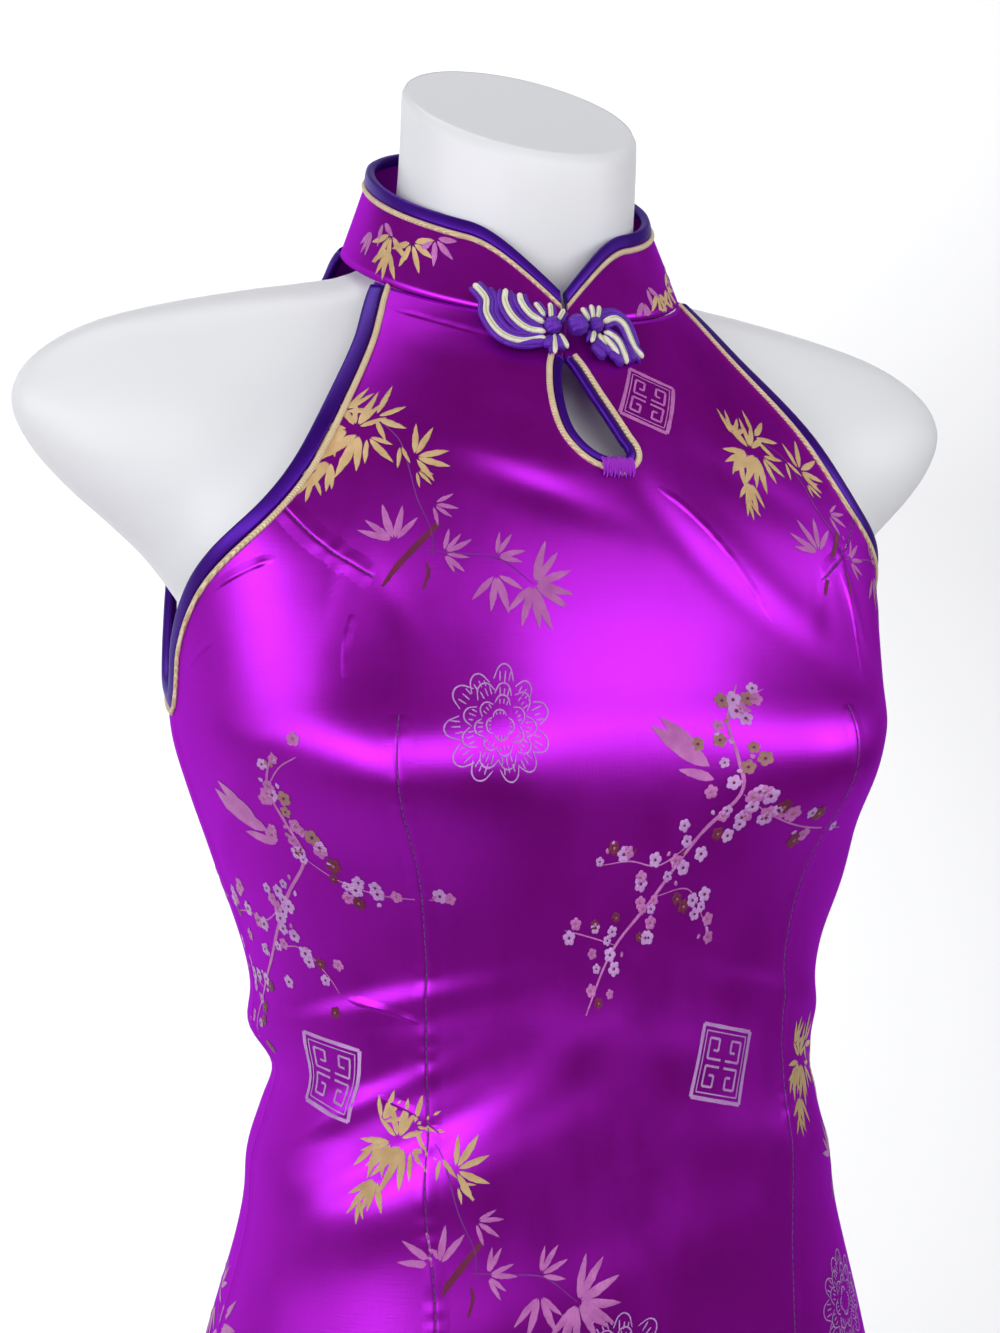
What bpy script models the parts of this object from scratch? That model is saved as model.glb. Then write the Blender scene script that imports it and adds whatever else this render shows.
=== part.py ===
"""Cheongsam on a torso form: a sleeveless dress with a stand collar, keyhole and frog.

Metres, +Z up. The wearer faces -Y and their left hand is at +X. The origin is on the
floor, under the middle of the stand.
"""

import math

import bmesh
import bpy
from mathutils import Vector

# Cloth and seams
WALL = 0.0012
SEAM_GAP = 0.0003
TRIM_LIFT = 0.0008
TRIM_WALL = 0.0012
PIPING_WALL = 0.0018
COLLAR_WALL = 0.0016

# Heights along the centre front
HEM_Z = 0.460
SLIT_TOP_Z = 0.690
UNDERARM_Z = 1.168
KEYHOLE_LOW_Z = 1.2525
KEYHOLE_TOP_Z = 1.296
NECK_Z = 1.311
SLIT_SPREAD = 0.007

# One row for each section of the dress, from the hem up to the neck seam.
# height: at the centre front; tilt: rise of the section's plane towards the back;
# middle: y of its widest place; side, front, back: reach from there;
# front_round, back_round: exponents of the outline, 2 being an ellipse;
# ease: how far the cloth stands off the form
SECTION_COLUMNS = ("height", "tilt", "middle", "side", "front", "back",
                   "front_round", "back_round", "ease")
SECTION_ROWS = (
    (0.460, 0.00, -0.004, 0.137, 0.094, 0.100, 2.2, 2.2, 0.0060),
    (0.620, 0.00, -0.003, 0.150, 0.099, 0.114, 2.2, 2.2, 0.0040),
    (0.760, 0.00, -0.002, 0.156, 0.1015, 0.122, 2.3, 2.2, 0.0020),
    (0.840, 0.00, -0.002, 0.153, 0.0995, 0.122, 2.3, 2.2, 0.0012),
    (0.900, 0.00, -0.004, 0.140, 0.0975, 0.112, 2.3, 2.2, 0.0020),
    (0.960, 0.00, -0.008, 0.1235, 0.0945, 0.092, 2.3, 2.2, 0.0035),
    (1.015, 0.00, -0.011, 0.1145, 0.091, 0.080, 2.2, 2.2, 0.0045),
    (1.060, 0.00, -0.009, 0.1205, 0.094, 0.086, 2.2, 2.2, 0.0035),
    (1.105, 0.00, -0.005, 0.134, 0.104, 0.093, 2.4, 2.2, 0.0025),
    (1.130, 0.00, -0.003, 0.1420, 0.1095, 0.0945, 2.6, 2.2, 0.0022),
    (1.150, 0.00, -0.002, 0.1475, 0.1105, 0.095, 2.7, 2.2, 0.0020),
    (1.168, 0.00, 0.000, 0.149, 0.1095, 0.094, 2.7, 2.2, 0.0028),
    (1.200, 0.10, 0.001, 0.151, 0.105, 0.098, 2.6, 2.45, 0.0016),
    (1.230, 0.20, 0.002, 0.153, 0.099, 0.101, 2.4, 2.6, 0.0016),
    (1.260, 0.30, 0.005, 0.142, 0.092, 0.095, 2.25, 2.45, 0.0016),
    (1.290, 0.40, 0.007, 0.098, 0.0805, 0.081, 2.1, 2.1, 0.0016),
    (1.311, 0.45, 0.009, 0.0715, 0.0715, 0.0715, 2.0, 2.0, 0.0016),
)

# The bust: two soft mounds a general figure gives the cloth
BUST_ANGLE = 38.0
BUST_Z = 1.138
BUST_LIFT = 0.015
BUST_SPREAD_DEG = 17.0
BUST_ABOVE = 0.040
BUST_BELOW = 0.032

# Where the armhole cuts the front and the back, in degrees from the centre front
ARMHOLE_COLUMNS = ("height", "front", "back")
ARMHOLE_ROWS = (
    (1.168, 90.0, 90.0),
    (1.173, 88.0, 97.0),
    (1.184, 85.0, 103.0),
    (1.200, 77.5, 109.0),
    (1.230, 63.0, 119.0),
    (1.260, 57.5, 130.0),
    (1.290, 61.0, 133.0),
    (1.311, 70.0, 121.0),
)

# The keyhole's two edges, x by height, up into the closing slit
KEYHOLE_COLUMNS = ("height", "right", "left")
KEYHOLE_ROWS = (
    (1.2525, 0.0056, 0.0056),
    (1.2560, -0.0036, 0.0098),
    (1.2620, -0.0098, 0.0073),
    (1.2690, -0.0126, 0.0040),
    (1.2800, -0.0132, -0.0013),
    (1.2900, -0.0116, -0.0056),
    (1.2960, -0.0092, -0.0084),
    (1.3110, -0.0046, -0.0040),
)

# The largest folds, each a soft ridge or trough: where it lies, how long and how wide
# it is (half lengths), how far it stands out and how it slants from level
FOLD_COLUMNS = ("angle", "height", "length", "width", "lift", "slant")
FOLD_ROWS = (
    (-98.0, 1.036, 0.070, 0.011, 0.0050, 4.0),
    (-98.0, 1.018, 0.060, 0.009, -0.0030, 4.0),
    (-92.0, 0.985, 0.060, 0.016, 0.0040, -4.0),
    (-45.0, 0.985, 0.060, 0.014, 0.0022, 24.0),
    (-20.0, 0.935, 0.070, 0.018, 0.0020, 18.0),
    (84.0, 1.030, 0.045, 0.010, 0.0035, -8.0),
    (60.0, 0.980, 0.060, 0.015, 0.0022, -14.0),
    (118.0, 1.006, 0.060, 0.013, 0.0040, 5.0),
    (170.0, 1.010, 0.080, 0.014, 0.0050, 3.0),
    (-150.0, 0.970, 0.070, 0.016, 0.0035, -5.0),
    (66.0, 1.085, 0.050, 0.014, 0.0025, -32.0),
    (-66.0, 1.082, 0.050, 0.014, 0.0022, 30.0),
    (-35.0, 0.600, 0.150, 0.028, 0.0040, 84.0),
    (38.0, 0.590, 0.150, 0.028, 0.0040, 97.0),
    (180.0, 0.600, 0.160, 0.030, 0.0040, 90.0),
)

# Rows of mesh along the front and the back, as (from, to, steps)
FRONT_RUNS = ((HEM_Z, 0.82, 8), (0.82, 1.00, 8), (1.00, 1.05, 5), (1.05, UNDERARM_Z, 7),
              (UNDERARM_Z, KEYHOLE_LOW_Z, 5), (KEYHOLE_LOW_Z, KEYHOLE_TOP_Z, 7),
              (KEYHOLE_TOP_Z, NECK_Z, 2))
BACK_RUNS = ((HEM_Z, 0.82, 7), (0.82, 1.00, 7), (1.00, 1.05, 5), (1.05, UNDERARM_Z, 5),
             (UNDERARM_Z, NECK_Z, 9))
FRONT_HALF_COLUMNS = 13
BACK_COLUMNS = 24

# Bindings and piping
ARM_BINDING_WIDTH = 0.0057
PIPING_WIDTH = 0.0025
PIPING_SPACE = 0.0004
KEY_BINDING_WIDTH = 0.0026
ARM_TRIM_TOP = 1.3085
ARM_TRIM_STEPS = 26
KEY_TRIM_TOP = 1.2945
KEY_TRIM_STEPS = 12

# Collar
COLLAR_RADIUS = 0.0715
COLLAR_MIDDLE_Y = 0.009
COLLAR_TILT = 0.45
COLLAR_GAP = 0.0006
COLLAR_HEIGHT = 0.037
COLLAR_FRONT_HEIGHT = 0.010
COLLAR_CURVE = 0.042
COLLAR_LEAN = 0.35
COLLAR_RISE = 0.937
COLLAR_MEET_X = -0.0043
COLLAR_MEET_GAP = 0.0012
COLLAR_STEPS = 52
COLLAR_CROWDING = 0.09
COLLAR_CORNER_POWER = 0.9
COLLAR_ROWS = (0.0, 0.35, 0.7, 1.0)
COLLAR_BINDING = 0.0050

# Frog closure
FROG_X = -0.0035
FROG_Z = 1.3065
FROG_LOW_Y = -0.0764
FROG_LOW_Z = 1.288
FROG_LEAN = 0.37
FROG_BEND_RADIUS = 0.070
FROG_THICK = 0.0028
FROG_HUB = 0.0056
FROG_PETALS = 5
FROG_SWEEP = 76.0
FROG_SQUAT = 0.62
FROG_RINGS = (0.0, 0.55, 0.85, 1.0)
FROG_SPOKES_PER_PETAL = 6
PETAL_DEPTH = 0.18
# Each wing: its side, how far it reaches, how it tips from level and its stand-off
WING_ROWS = (("right", -1, 0.037, 9.0, 0.0), ("left", 1, 0.032, -10.0, 0.0017))
KNOT_RADIUS = 0.0052

# Form and stand
FORM_LOW_Z = 0.735
FORM_ROUND = 0.012
FORM_SIDES = 44
FORM_CROWDING = 0.30
FORM_LOW_HEIGHTS = (0.78, 0.82, 0.86, 0.90, 0.94, 0.98, 1.015, 1.05, 1.08, 1.105, 1.13, 1.15)
NECK_CAP_TILT = 0.66
# Shoulders and neck of the form: tilt and middle as for the dress; chest: half its
# width; front, back: its depth; shoulder, arm: reach and half depth of the shoulder ends
FORM_COLUMNS = ("height", "tilt", "middle", "chest", "front", "back", "shoulder", "arm")
FORM_ROWS = (
    (1.205, 0.00, 0.000, 0.1425, 0.0980, 0.0865, 0.1425, 0.060),
    (1.220, 0.00, 0.001, 0.1490, 0.0935, 0.0870, 0.1560, 0.050),
    (1.235, 0.02, 0.002, 0.1510, 0.0880, 0.0860, 0.1730, 0.047),
    (1.250, 0.04, 0.003, 0.1510, 0.0815, 0.0820, 0.1900, 0.046),
    (1.265, 0.07, 0.004, 0.1480, 0.0735, 0.0770, 0.2030, 0.045),
    (1.280, 0.11, 0.005, 0.1430, 0.0645, 0.0710, 0.2095, 0.043),
    (1.293, 0.16, 0.006, 0.1360, 0.0565, 0.0650, 0.2060, 0.040),
    (1.304, 0.22, 0.007, 0.1260, 0.0505, 0.0600, 0.1940, 0.036),
    (1.313, 0.29, 0.008, 0.1140, 0.0460, 0.0550, 0.1750, 0.032),
    (1.320, 0.35, 0.009, 0.1000, 0.0440, 0.0510, 0.1480, 0.029),
    (1.3265, 0.40, 0.009, 0.0840, 0.0435, 0.0490, 0.1130, 0.027),
    (1.332, 0.43, 0.008, 0.0690, 0.0440, 0.0480, 0.0790, 0.027),
    (1.343, 0.45, 0.006, 0.0560, 0.0460, 0.0475, 0.0560, 0.030),
    (1.362, 0.50, 0.002, 0.0500, 0.0475, 0.0475, 0.0500, 0.036),
    (1.388, 0.58, -0.003, 0.0485, 0.0475, 0.0475, 0.0485, 0.038),
    (1.4115, NECK_CAP_TILT, -0.006, 0.0480, 0.0475, 0.0475, 0.0480, 0.038),
    (1.4135, NECK_CAP_TILT, -0.006, 0.0468, 0.0462, 0.0462, 0.0468, 0.036),
)
CHEST_ROUND = 2.05
SHOULDER_ROUND = 2.3
SHOULDER_BLEND = 24.0
SHOULDER_TRIM = 0.99
POLE_RADIUS = 0.0125
FLANGE_RADIUS = 0.036
FLANGE_HEIGHT = 0.014
BASE_CROWN = 0.022
# The base's upper side from its middle outwards: radius and height
BASE_PROFILE = ((0.026, 0.022), (0.032, 0.016), (0.070, 0.0135), (0.130, 0.011),
                (0.167, 0.009), (0.170, 0.006), (0.170, 0.0))
FLANGE_CHAMFER = 0.006
FLANGE_NARROW = 0.62
REST_GAP = 0.0003
TURNED_SIDES = {"stand_flange": 32, "stand_pole": 24, "stand_base": 64}

SATIN = (0.30, 0.02, 0.42, 1.0)
BINDING = (0.13, 0.03, 0.45, 1.0)
CREAM = (0.86, 0.72, 0.46, 1.0)
WHITE = (0.85, 0.86, 0.88, 1.0)
STEEL = (0.62, 0.63, 0.65, 1.0)


def clear_scene():
    """Remove what a new file holds."""
    for item in list(bpy.data.objects):
        bpy.data.objects.remove(item, do_unlink=True)


def make_material(name, colour, roughness, metallic=0.0):
    """A plain principled finish."""
    material = bpy.data.materials.new(name)
    material.use_nodes = True
    shader = material.node_tree.nodes["Principled BSDF"]
    shader.inputs["Base Color"].default_value = colour
    shader.inputs["Roughness"].default_value = roughness
    shader.inputs["Metallic"].default_value = metallic
    return material


def smooth_value(columns, rows, name, at):
    """A smooth curve through one column of a table, read at a height."""
    place = columns.index(name)
    heights = [row[0] for row in rows]
    values = [row[place] for row in rows]
    if at <= heights[0]:
        return values[0]
    if at >= heights[-1]:
        return values[-1]
    low = max(i for i in range(len(heights) - 1) if heights[i] <= at)

    def slope(i):
        before = max(i - 1, 0)
        after = min(i + 1, len(heights) - 1)
        return (values[after] - values[before]) / (heights[after] - heights[before])

    span = heights[low + 1] - heights[low]
    t = (at - heights[low]) / span
    start = (1 + 2 * t) * (1 - t) ** 2 * values[low]
    start += t * (1 - t) ** 2 * span * slope(low)
    end = t * t * (3 - 2 * t) * values[low + 1]
    end += t * t * (t - 1) * span * slope(low + 1)
    return start + end


def section(name, at):
    """One size of the dress at a height."""
    return smooth_value(SECTION_COLUMNS, SECTION_ROWS, name, at)


def outline_reach(side, depth, roundness, degrees):
    """Distance from a section's middle to its outline, in one direction."""
    turn = math.radians(degrees)
    across = abs(math.sin(turn)) / side
    along = abs(math.cos(turn)) / depth
    return (across ** roundness + along ** roundness) ** (-1 / roundness)


def wrapped(degrees):
    """An angle brought between -180 and 180."""
    return (degrees + 180.0) % 360.0 - 180.0


def bust_lift(at, degrees):
    """How far the bust lifts the cloth."""
    spread = BUST_ABOVE if at > BUST_Z else BUST_BELOW
    height = math.exp(-((at - BUST_Z) / spread) ** 2)
    turn = (abs(wrapped(degrees)) - BUST_ANGLE) / BUST_SPREAD_DEG
    return BUST_LIFT * height * math.exp(-turn * turn)


def fold_lift(at, degrees, reach):
    """How far the largest folds lift the cloth."""
    total = 0.0
    for row in FOLD_ROWS:
        fold = dict(zip(FOLD_COLUMNS, row))
        across = math.radians(wrapped(degrees - fold["angle"])) * reach
        up = at - fold["height"]
        turn = math.radians(fold["slant"])
        along = (across * math.cos(turn) + up * math.sin(turn)) / fold["length"]
        over = (up * math.cos(turn) - across * math.sin(turn)) / fold["width"]
        total += fold["lift"] * math.exp(-along * along - over * over)
    return total


def body_reach(at, degrees):
    """Reach of the dress before folds, from its section's middle."""
    front = abs(wrapped(degrees)) <= 90.0
    depth = section("front" if front else "back", at)
    roundness = section("front_round" if front else "back_round", at)
    return outline_reach(section("side", at), depth, roundness, degrees) + bust_lift(at, degrees)


def cloth_point(at, degrees):
    """A point on the outer face of the dress."""
    reach = body_reach(at, degrees)
    reach += fold_lift(at, degrees, reach)
    middle = section("middle", at)
    turn = math.radians(degrees)
    y = middle - reach * math.cos(turn)
    front_y = middle - section("front", at)
    return Vector((reach * math.sin(turn), y, at + section("tilt", at) * (y - front_y)))


def cloth_normal(at, degrees):
    """The outward direction of the dress at a point."""
    step_up = 0.002
    step_turn = 1.0
    up = cloth_point(min(at + step_up, NECK_Z), degrees) - cloth_point(at - step_up, degrees)
    across = cloth_point(at, degrees + step_turn) - cloth_point(at, degrees - step_turn)
    return across.cross(up).normalized()


def cloth_place(point):
    """The height and angle on the dress nearest to a point close to it."""
    at = point.z
    for _ in range(12):
        front_y = section("middle", at) - section("front", at)
        at = point.z - section("tilt", at) * (point.y - front_y)
        at = min(max(at, HEM_Z), NECK_Z)
    turn = math.degrees(math.atan2(point.x, section("middle", at) - point.y))
    return at, turn


def lifted(at, degrees, lift):
    """A point off the outer face of the dress."""
    return cloth_point(at, degrees) + cloth_normal(at, degrees) * lift


def angle_at_x(at, x):
    """The angle where a section passes a place near the centre front."""
    turn = 0.0
    for _ in range(8):
        turn = math.degrees(math.asin(x / body_reach(at, turn)))
    return turn


def armhole(name, at):
    """Where the armhole cuts a section, in degrees; the side seam below it."""
    if at <= UNDERARM_Z:
        return 90.0
    return smooth_value(ARMHOLE_COLUMNS, ARMHOLE_ROWS, name, at)


def keyhole_edge(name, at):
    """An edge of the keyhole, in degrees; one line below it, easing to the middle."""
    if at <= KEYHOLE_LOW_Z:
        drift = max(0.0, 1.0 - (KEYHOLE_LOW_Z - at) / 0.12)
        return angle_at_x(at, KEYHOLE_ROWS[0][1] * drift)
    return angle_at_x(at, smooth_value(KEYHOLE_COLUMNS, KEYHOLE_ROWS, name, at))


def run_heights(runs):
    """Heights of a panel's mesh rows."""
    heights = []
    for start, end, steps in runs:
        heights += [start + (end - start) * i / steps for i in range(steps)]
    heights.append(runs[-1][1])
    return heights


def side_gap(at):
    """Half the gap between front and back at the side, wider down the slit, in degrees."""
    half = SEAM_GAP / 2
    if at < SLIT_TOP_Z:
        half += SLIT_SPREAD * ((SLIT_TOP_Z - at) / (SLIT_TOP_Z - HEM_Z)) ** 1.4
    return math.degrees(half / section("side", at))


def new_object(name, mesh, material, collection):
    """Put a mesh in the collection under a name, with its finish."""
    item = bpy.data.objects.new(name, mesh)
    collection.objects.link(item)
    mesh.materials.append(material)
    mesh.shade_smooth()
    return item


def mesh_from(name, points, faces):
    """A mesh from computed points and faces."""
    mesh = bpy.data.meshes.new(name)
    mesh.from_pydata([tuple(point) for point in points], [], faces)
    mesh.validate()
    mesh.update()
    return mesh


def add_wall(item, thickness):
    """Give an open surface its thickness, inwards."""
    solid = item.modifiers.new("wall", "SOLIDIFY")
    solid.thickness = thickness
    solid.offset = -1.0
    solid.use_even_offset = False
    solid.use_rim = True


def build_front(collection, material):
    """The front, one piece, slit from the neck seam to the keyhole."""
    heights = run_heights(FRONT_RUNS)
    points = []
    rows = []
    for at in heights:
        edge = armhole("front", at) - (side_gap(at) if at <= UNDERARM_Z else 0.0)
        right_edge = keyhole_edge("right", at)
        left_edge = keyhole_edge("left", at)
        parted = at > KEYHOLE_LOW_Z
        right_half = []
        for i in range(FRONT_HALF_COLUMNS + 1):
            turn = -edge + (right_edge + edge) * i / FRONT_HALF_COLUMNS
            right_half.append(len(points))
            points.append(cloth_point(at, turn))
        left_half = []
        for i in range(FRONT_HALF_COLUMNS + 1):
            if i == 0 and not parted:
                left_half.append(right_half[-1])
                continue
            turn = left_edge + (edge - left_edge) * i / FRONT_HALF_COLUMNS
            left_half.append(len(points))
            points.append(cloth_point(at, turn))
        rows.append((right_half, left_half))
    faces = []
    for low, high in zip(rows, rows[1:]):
        for half in (0, 1):
            for i in range(FRONT_HALF_COLUMNS):
                faces.append((low[half][i], low[half][i + 1], high[half][i + 1], high[half][i]))
    item = new_object("front_panel", mesh_from("front_panel", points, faces), material, collection)
    add_wall(item, WALL)
    return item


def build_back(collection, material):
    """The back, one piece from side seam to side seam."""
    heights = run_heights(BACK_RUNS)
    points = []
    for at in heights:
        edge = armhole("back", at) + (side_gap(at) if at <= UNDERARM_Z else 0.0)
        for i in range(BACK_COLUMNS + 1):
            turn = edge + (360.0 - 2 * edge) * i / BACK_COLUMNS
            points.append(cloth_point(at, turn))
    wide = BACK_COLUMNS + 1
    faces = []
    for row in range(len(heights) - 1):
        for i in range(BACK_COLUMNS):
            corner = row * wide + i
            faces.append((corner, corner + 1, corner + wide + 1, corner + wide))
    item = new_object("back_panel", mesh_from("back_panel", points, faces), material, collection)
    add_wall(item, WALL)
    return item


def armhole_route(hand):
    """The armhole's edge, from the collar down the front, under the arm and up the back."""
    route = []
    for i in range(ARM_TRIM_STEPS + 1):
        t = i / ARM_TRIM_STEPS
        at = UNDERARM_Z + (ARM_TRIM_TOP - UNDERARM_Z) * (1 - t) ** 1.3
        route.append((at, hand * armhole("front", at)))
    for i in range(1, ARM_TRIM_STEPS + 1):
        t = i / ARM_TRIM_STEPS
        at = UNDERARM_Z + (ARM_TRIM_TOP - UNDERARM_Z) * t ** 1.3
        route.append((at, hand * armhole("back", at)))
    return route


def keyhole_route():
    """The keyhole's edge, down the wearer's right, round the foot and up the left."""
    span = KEY_TRIM_TOP - KEYHOLE_LOW_Z
    route = []
    for i in range(KEY_TRIM_STEPS):
        at = KEYHOLE_LOW_Z + span * (1 - i / KEY_TRIM_STEPS) ** 1.6
        route.append((at, keyhole_edge("right", at)))
    for i in range(KEY_TRIM_STEPS + 1):
        at = KEYHOLE_LOW_Z + span * (i / KEY_TRIM_STEPS) ** 1.6
        route.append((at, keyhole_edge("left", at)))
    return route


def build_strip(name, route, near, far, wall, towards, collection, material):
    """A flat strip that follows an edge, lying on the cloth between two distances from it."""
    edge = [cloth_point(at, turn) for at, turn in route]
    points = []
    for i, (at, turn) in enumerate(route):
        before = edge[max(i - 1, 0)]
        after = edge[min(i + 1, len(edge) - 1)]
        inward = (after - before).normalized().cross(cloth_normal(at, turn)) * towards
        inner = [cloth_place(edge[i] + inward * distance) for distance in (near, far)]
        for lift in (TRIM_LIFT, TRIM_LIFT + wall):
            points += [lifted(place[0], place[1], lift) for place in inner]
    faces = []
    for i in range(len(route) - 1):
        a = 4 * i
        b = a + 4
        faces += [(a, a + 1, b + 1, b), (a + 3, a + 2, b + 2, b + 3),
                  (a + 2, a, b, b + 2), (a + 1, a + 3, b + 3, b + 1)]
    last = 4 * (len(route) - 1)
    faces += [(0, 2, 3, 1), (last, last + 1, last + 3, last + 2)]
    mesh = mesh_from(name, points, faces)
    face_outward(mesh)
    return new_object(name, mesh, material, collection)


def face_outward(mesh):
    """Turn a closed mesh's faces outwards."""
    work = bmesh.new()
    work.from_mesh(mesh)
    bmesh.ops.recalc_face_normals(work, faces=work.faces)
    if work.calc_volume(signed=True) < 0:
        bmesh.ops.reverse_faces(work, faces=work.faces)
    work.to_mesh(mesh)
    work.free()


def collar_height(degrees):
    """Height of the collar round the neck, low at the front corners."""
    away = abs(math.radians(wrapped(degrees - collar_meet()))) * COLLAR_RADIUS
    t = min(away / COLLAR_CURVE, 1.0)
    rise = math.sin(t * math.pi / 2) ** COLLAR_CORNER_POWER
    return COLLAR_FRONT_HEIGHT + (COLLAR_HEIGHT - COLLAR_FRONT_HEIGHT) * rise


def collar_meet():
    """The angle where the collar's two ends meet."""
    return math.degrees(math.asin(COLLAR_MEET_X / COLLAR_RADIUS))


def collar_point(degrees, up, lift=0.0):
    """A point on the collar's outer face, a distance up from the neck seam."""
    turn = math.radians(degrees)
    out = Vector((math.sin(turn), -math.cos(turn), 0.0))
    foot = Vector((0.0, COLLAR_MIDDLE_Y, NECK_Z + COLLAR_GAP)) + out * COLLAR_RADIUS
    foot.z += COLLAR_TILT * (foot.y - COLLAR_MIDDLE_Y + COLLAR_RADIUS)
    along = Vector((0.0, 0.0, COLLAR_RISE)) - out * COLLAR_LEAN
    face = out * COLLAR_RISE + Vector((0.0, 0.0, COLLAR_LEAN))
    return foot + along * up + face * lift


def collar_turns():
    """Angles round the collar, closer together at its front corners."""
    gap = math.degrees(COLLAR_MEET_GAP / COLLAR_RADIUS)
    start = collar_meet() + gap
    span = 360.0 - 2 * gap
    turns = []
    for i in range(COLLAR_STEPS + 1):
        t = i / COLLAR_STEPS
        crowd = math.sin(2 * math.pi * t) * math.cos(math.pi * t) ** 2
        turns.append(start + span * (t - COLLAR_CROWDING * crowd))
    return turns


def build_collar(collection, material):
    """The stand collar, split at the front."""
    points = []
    for turn in collar_turns():
        points += [collar_point(turn, collar_height(turn) * share) for share in COLLAR_ROWS]
    wide = len(COLLAR_ROWS)
    faces = []
    for i in range(COLLAR_STEPS):
        for j in range(wide - 1):
            corner = i * wide + j
            faces.append((corner, corner + wide, corner + wide + 1, corner + 1))
    mesh = mesh_from("collar_stand", points, faces)
    item = new_object("collar_stand", mesh, material, collection)
    add_wall(item, COLLAR_WALL)
    return item


def build_collar_strip(name, near, far, wall, collection, material):
    """A strip along the collar's upper edge, between two distances below it."""
    points = []
    for turn in collar_turns():
        top = collar_height(turn)
        for lift in (TRIM_LIFT / 2, TRIM_LIFT / 2 + wall):
            points.append(collar_point(turn, top - near, lift))
            points.append(collar_point(turn, top - far, lift))
    faces = []
    for i in range(COLLAR_STEPS):
        a = 4 * i
        b = a + 4
        faces += [(a, a + 1, b + 1, b), (a + 3, a + 2, b + 2, b + 3),
                  (a + 2, a, b, b + 2), (a + 1, a + 3, b + 3, b + 1)]
    last = 4 * COLLAR_STEPS
    faces += [(0, 2, 3, 1), (last, last + 1, last + 3, last + 2)]
    mesh = mesh_from(name, points, faces)
    face_outward(mesh)
    return new_object(name, mesh, material, collection)


def frog_place(x, z, lift):
    """A point on the gently bent plane that the frog lies in."""
    across = x - FROG_X
    y = FROG_LOW_Y + FROG_LEAN * (z - FROG_LOW_Z) + across * across / (2 * FROG_BEND_RADIUS)
    out = Vector((across / FROG_BEND_RADIUS, -1.0, FROG_LEAN)).normalized()
    return Vector((x, y, z)) + out * lift


def build_wing(name, hand, far, tip, off, collection, material):
    """One wing of the frog: a fan of rounded petals beside the knot."""
    spokes = FROG_PETALS * FROG_SPOKES_PER_PETAL
    lean = math.radians(tip)
    points = []
    for layer in (0, 1):
        for i in range(spokes + 1):
            t = i / spokes
            turn = math.radians(FROG_SWEEP) * (t - 0.5)
            petal = abs(math.sin(math.pi * FROG_PETALS * t))
            for share in FROG_RINGS:
                reach = FROG_HUB + (far - FROG_HUB) * (1.0 - PETAL_DEPTH * (1.0 - petal)) * share
                crown = FROG_THICK * (0.45 + 0.55 * petal * math.sin(math.pi * min(share, 0.92)))
                out = reach * math.cos(turn)
                up = reach * math.sin(turn) * FROG_SQUAT + out * math.tan(lean)
                lift = off + (crown if layer else 0.0)
                points.append(frog_place(FROG_X + hand * out, FROG_Z + up, lift))
    wide = len(FROG_RINGS)
    layer_size = (spokes + 1) * wide
    faces = []
    for i in range(spokes):
        for j in range(wide - 1):
            low = i * wide + j
            high = low + layer_size
            faces.append((low, low + 1, low + wide + 1, low + wide))
            faces.append((high, high + wide, high + wide + 1, high + 1))
    for i in range(spokes):
        for j in (0, wide - 1):
            low = i * wide + j
            faces.append((low, low + wide, low + wide + layer_size, low + layer_size))
    for i in (0, spokes):
        for j in range(wide - 1):
            low = i * wide + j
            faces.append((low, low + 1, low + 1 + layer_size, low + layer_size))
    mesh = mesh_from(name, points, faces)
    face_outward(mesh)
    return new_object(name, mesh, material, collection)


def build_knot(collection, material):
    """The frog's ball knot, between the wings."""
    work = bmesh.new()
    bmesh.ops.create_uvsphere(work, u_segments=14, v_segments=8, radius=KNOT_RADIUS)
    mesh = bpy.data.meshes.new("frog_knot")
    work.to_mesh(mesh)
    work.free()
    item = new_object("frog_knot", mesh, material, collection)
    item.location = frog_place(FROG_X, FROG_Z, KNOT_RADIUS - 0.0006)
    return item


def form_size(name, at):
    """One size of the form's shoulders and neck at a height."""
    return smooth_value(FORM_COLUMNS, FORM_ROWS, name, at)


def form_ring(at):
    """One ring of the form: under the dress it follows the cloth, above it its own table."""
    ring = []
    first = FORM_ROWS[0][0]
    for i in range(FORM_SIDES):
        t = 2 * math.pi * i / FORM_SIDES
        turn = t + FORM_CROWDING * math.sin(2 * t)
        degrees = math.degrees(turn)
        if at < first:
            level = min(at, UNDERARM_Z)
            reach = body_reach(level, degrees) - WALL - section("ease", level)
            middle = section("middle", level)
            if at > UNDERARM_Z:
                upper = form_reach(first, degrees)
                share = (at - UNDERARM_Z) / (first - UNDERARM_Z)
                reach += (upper - reach) * share
                middle += (form_size("middle", first) - middle) * share
            y = middle - reach * math.cos(turn)
            ring.append(Vector((reach * math.sin(turn), y, at)))
        else:
            reach = form_reach(at, degrees)
            y = form_size("middle", at) - reach * math.cos(turn)
            ring.append(Vector((reach * math.sin(turn), y, at + form_size("tilt", at) * y)))
    return ring


def form_reach(at, degrees):
    """Reach of the form's own outline, the wider of chest and shoulders, blended."""
    front = abs(wrapped(degrees)) <= 90.0
    depth = form_size("front" if front else "back", at)
    chest = outline_reach(form_size("chest", at), depth, CHEST_ROUND, degrees)
    arm = outline_reach(form_size("shoulder", at), form_size("arm", at), SHOULDER_ROUND, degrees)
    blend = (chest ** SHOULDER_BLEND + arm ** SHOULDER_BLEND) ** (1 / SHOULDER_BLEND)
    return blend * SHOULDER_TRIM


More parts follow.
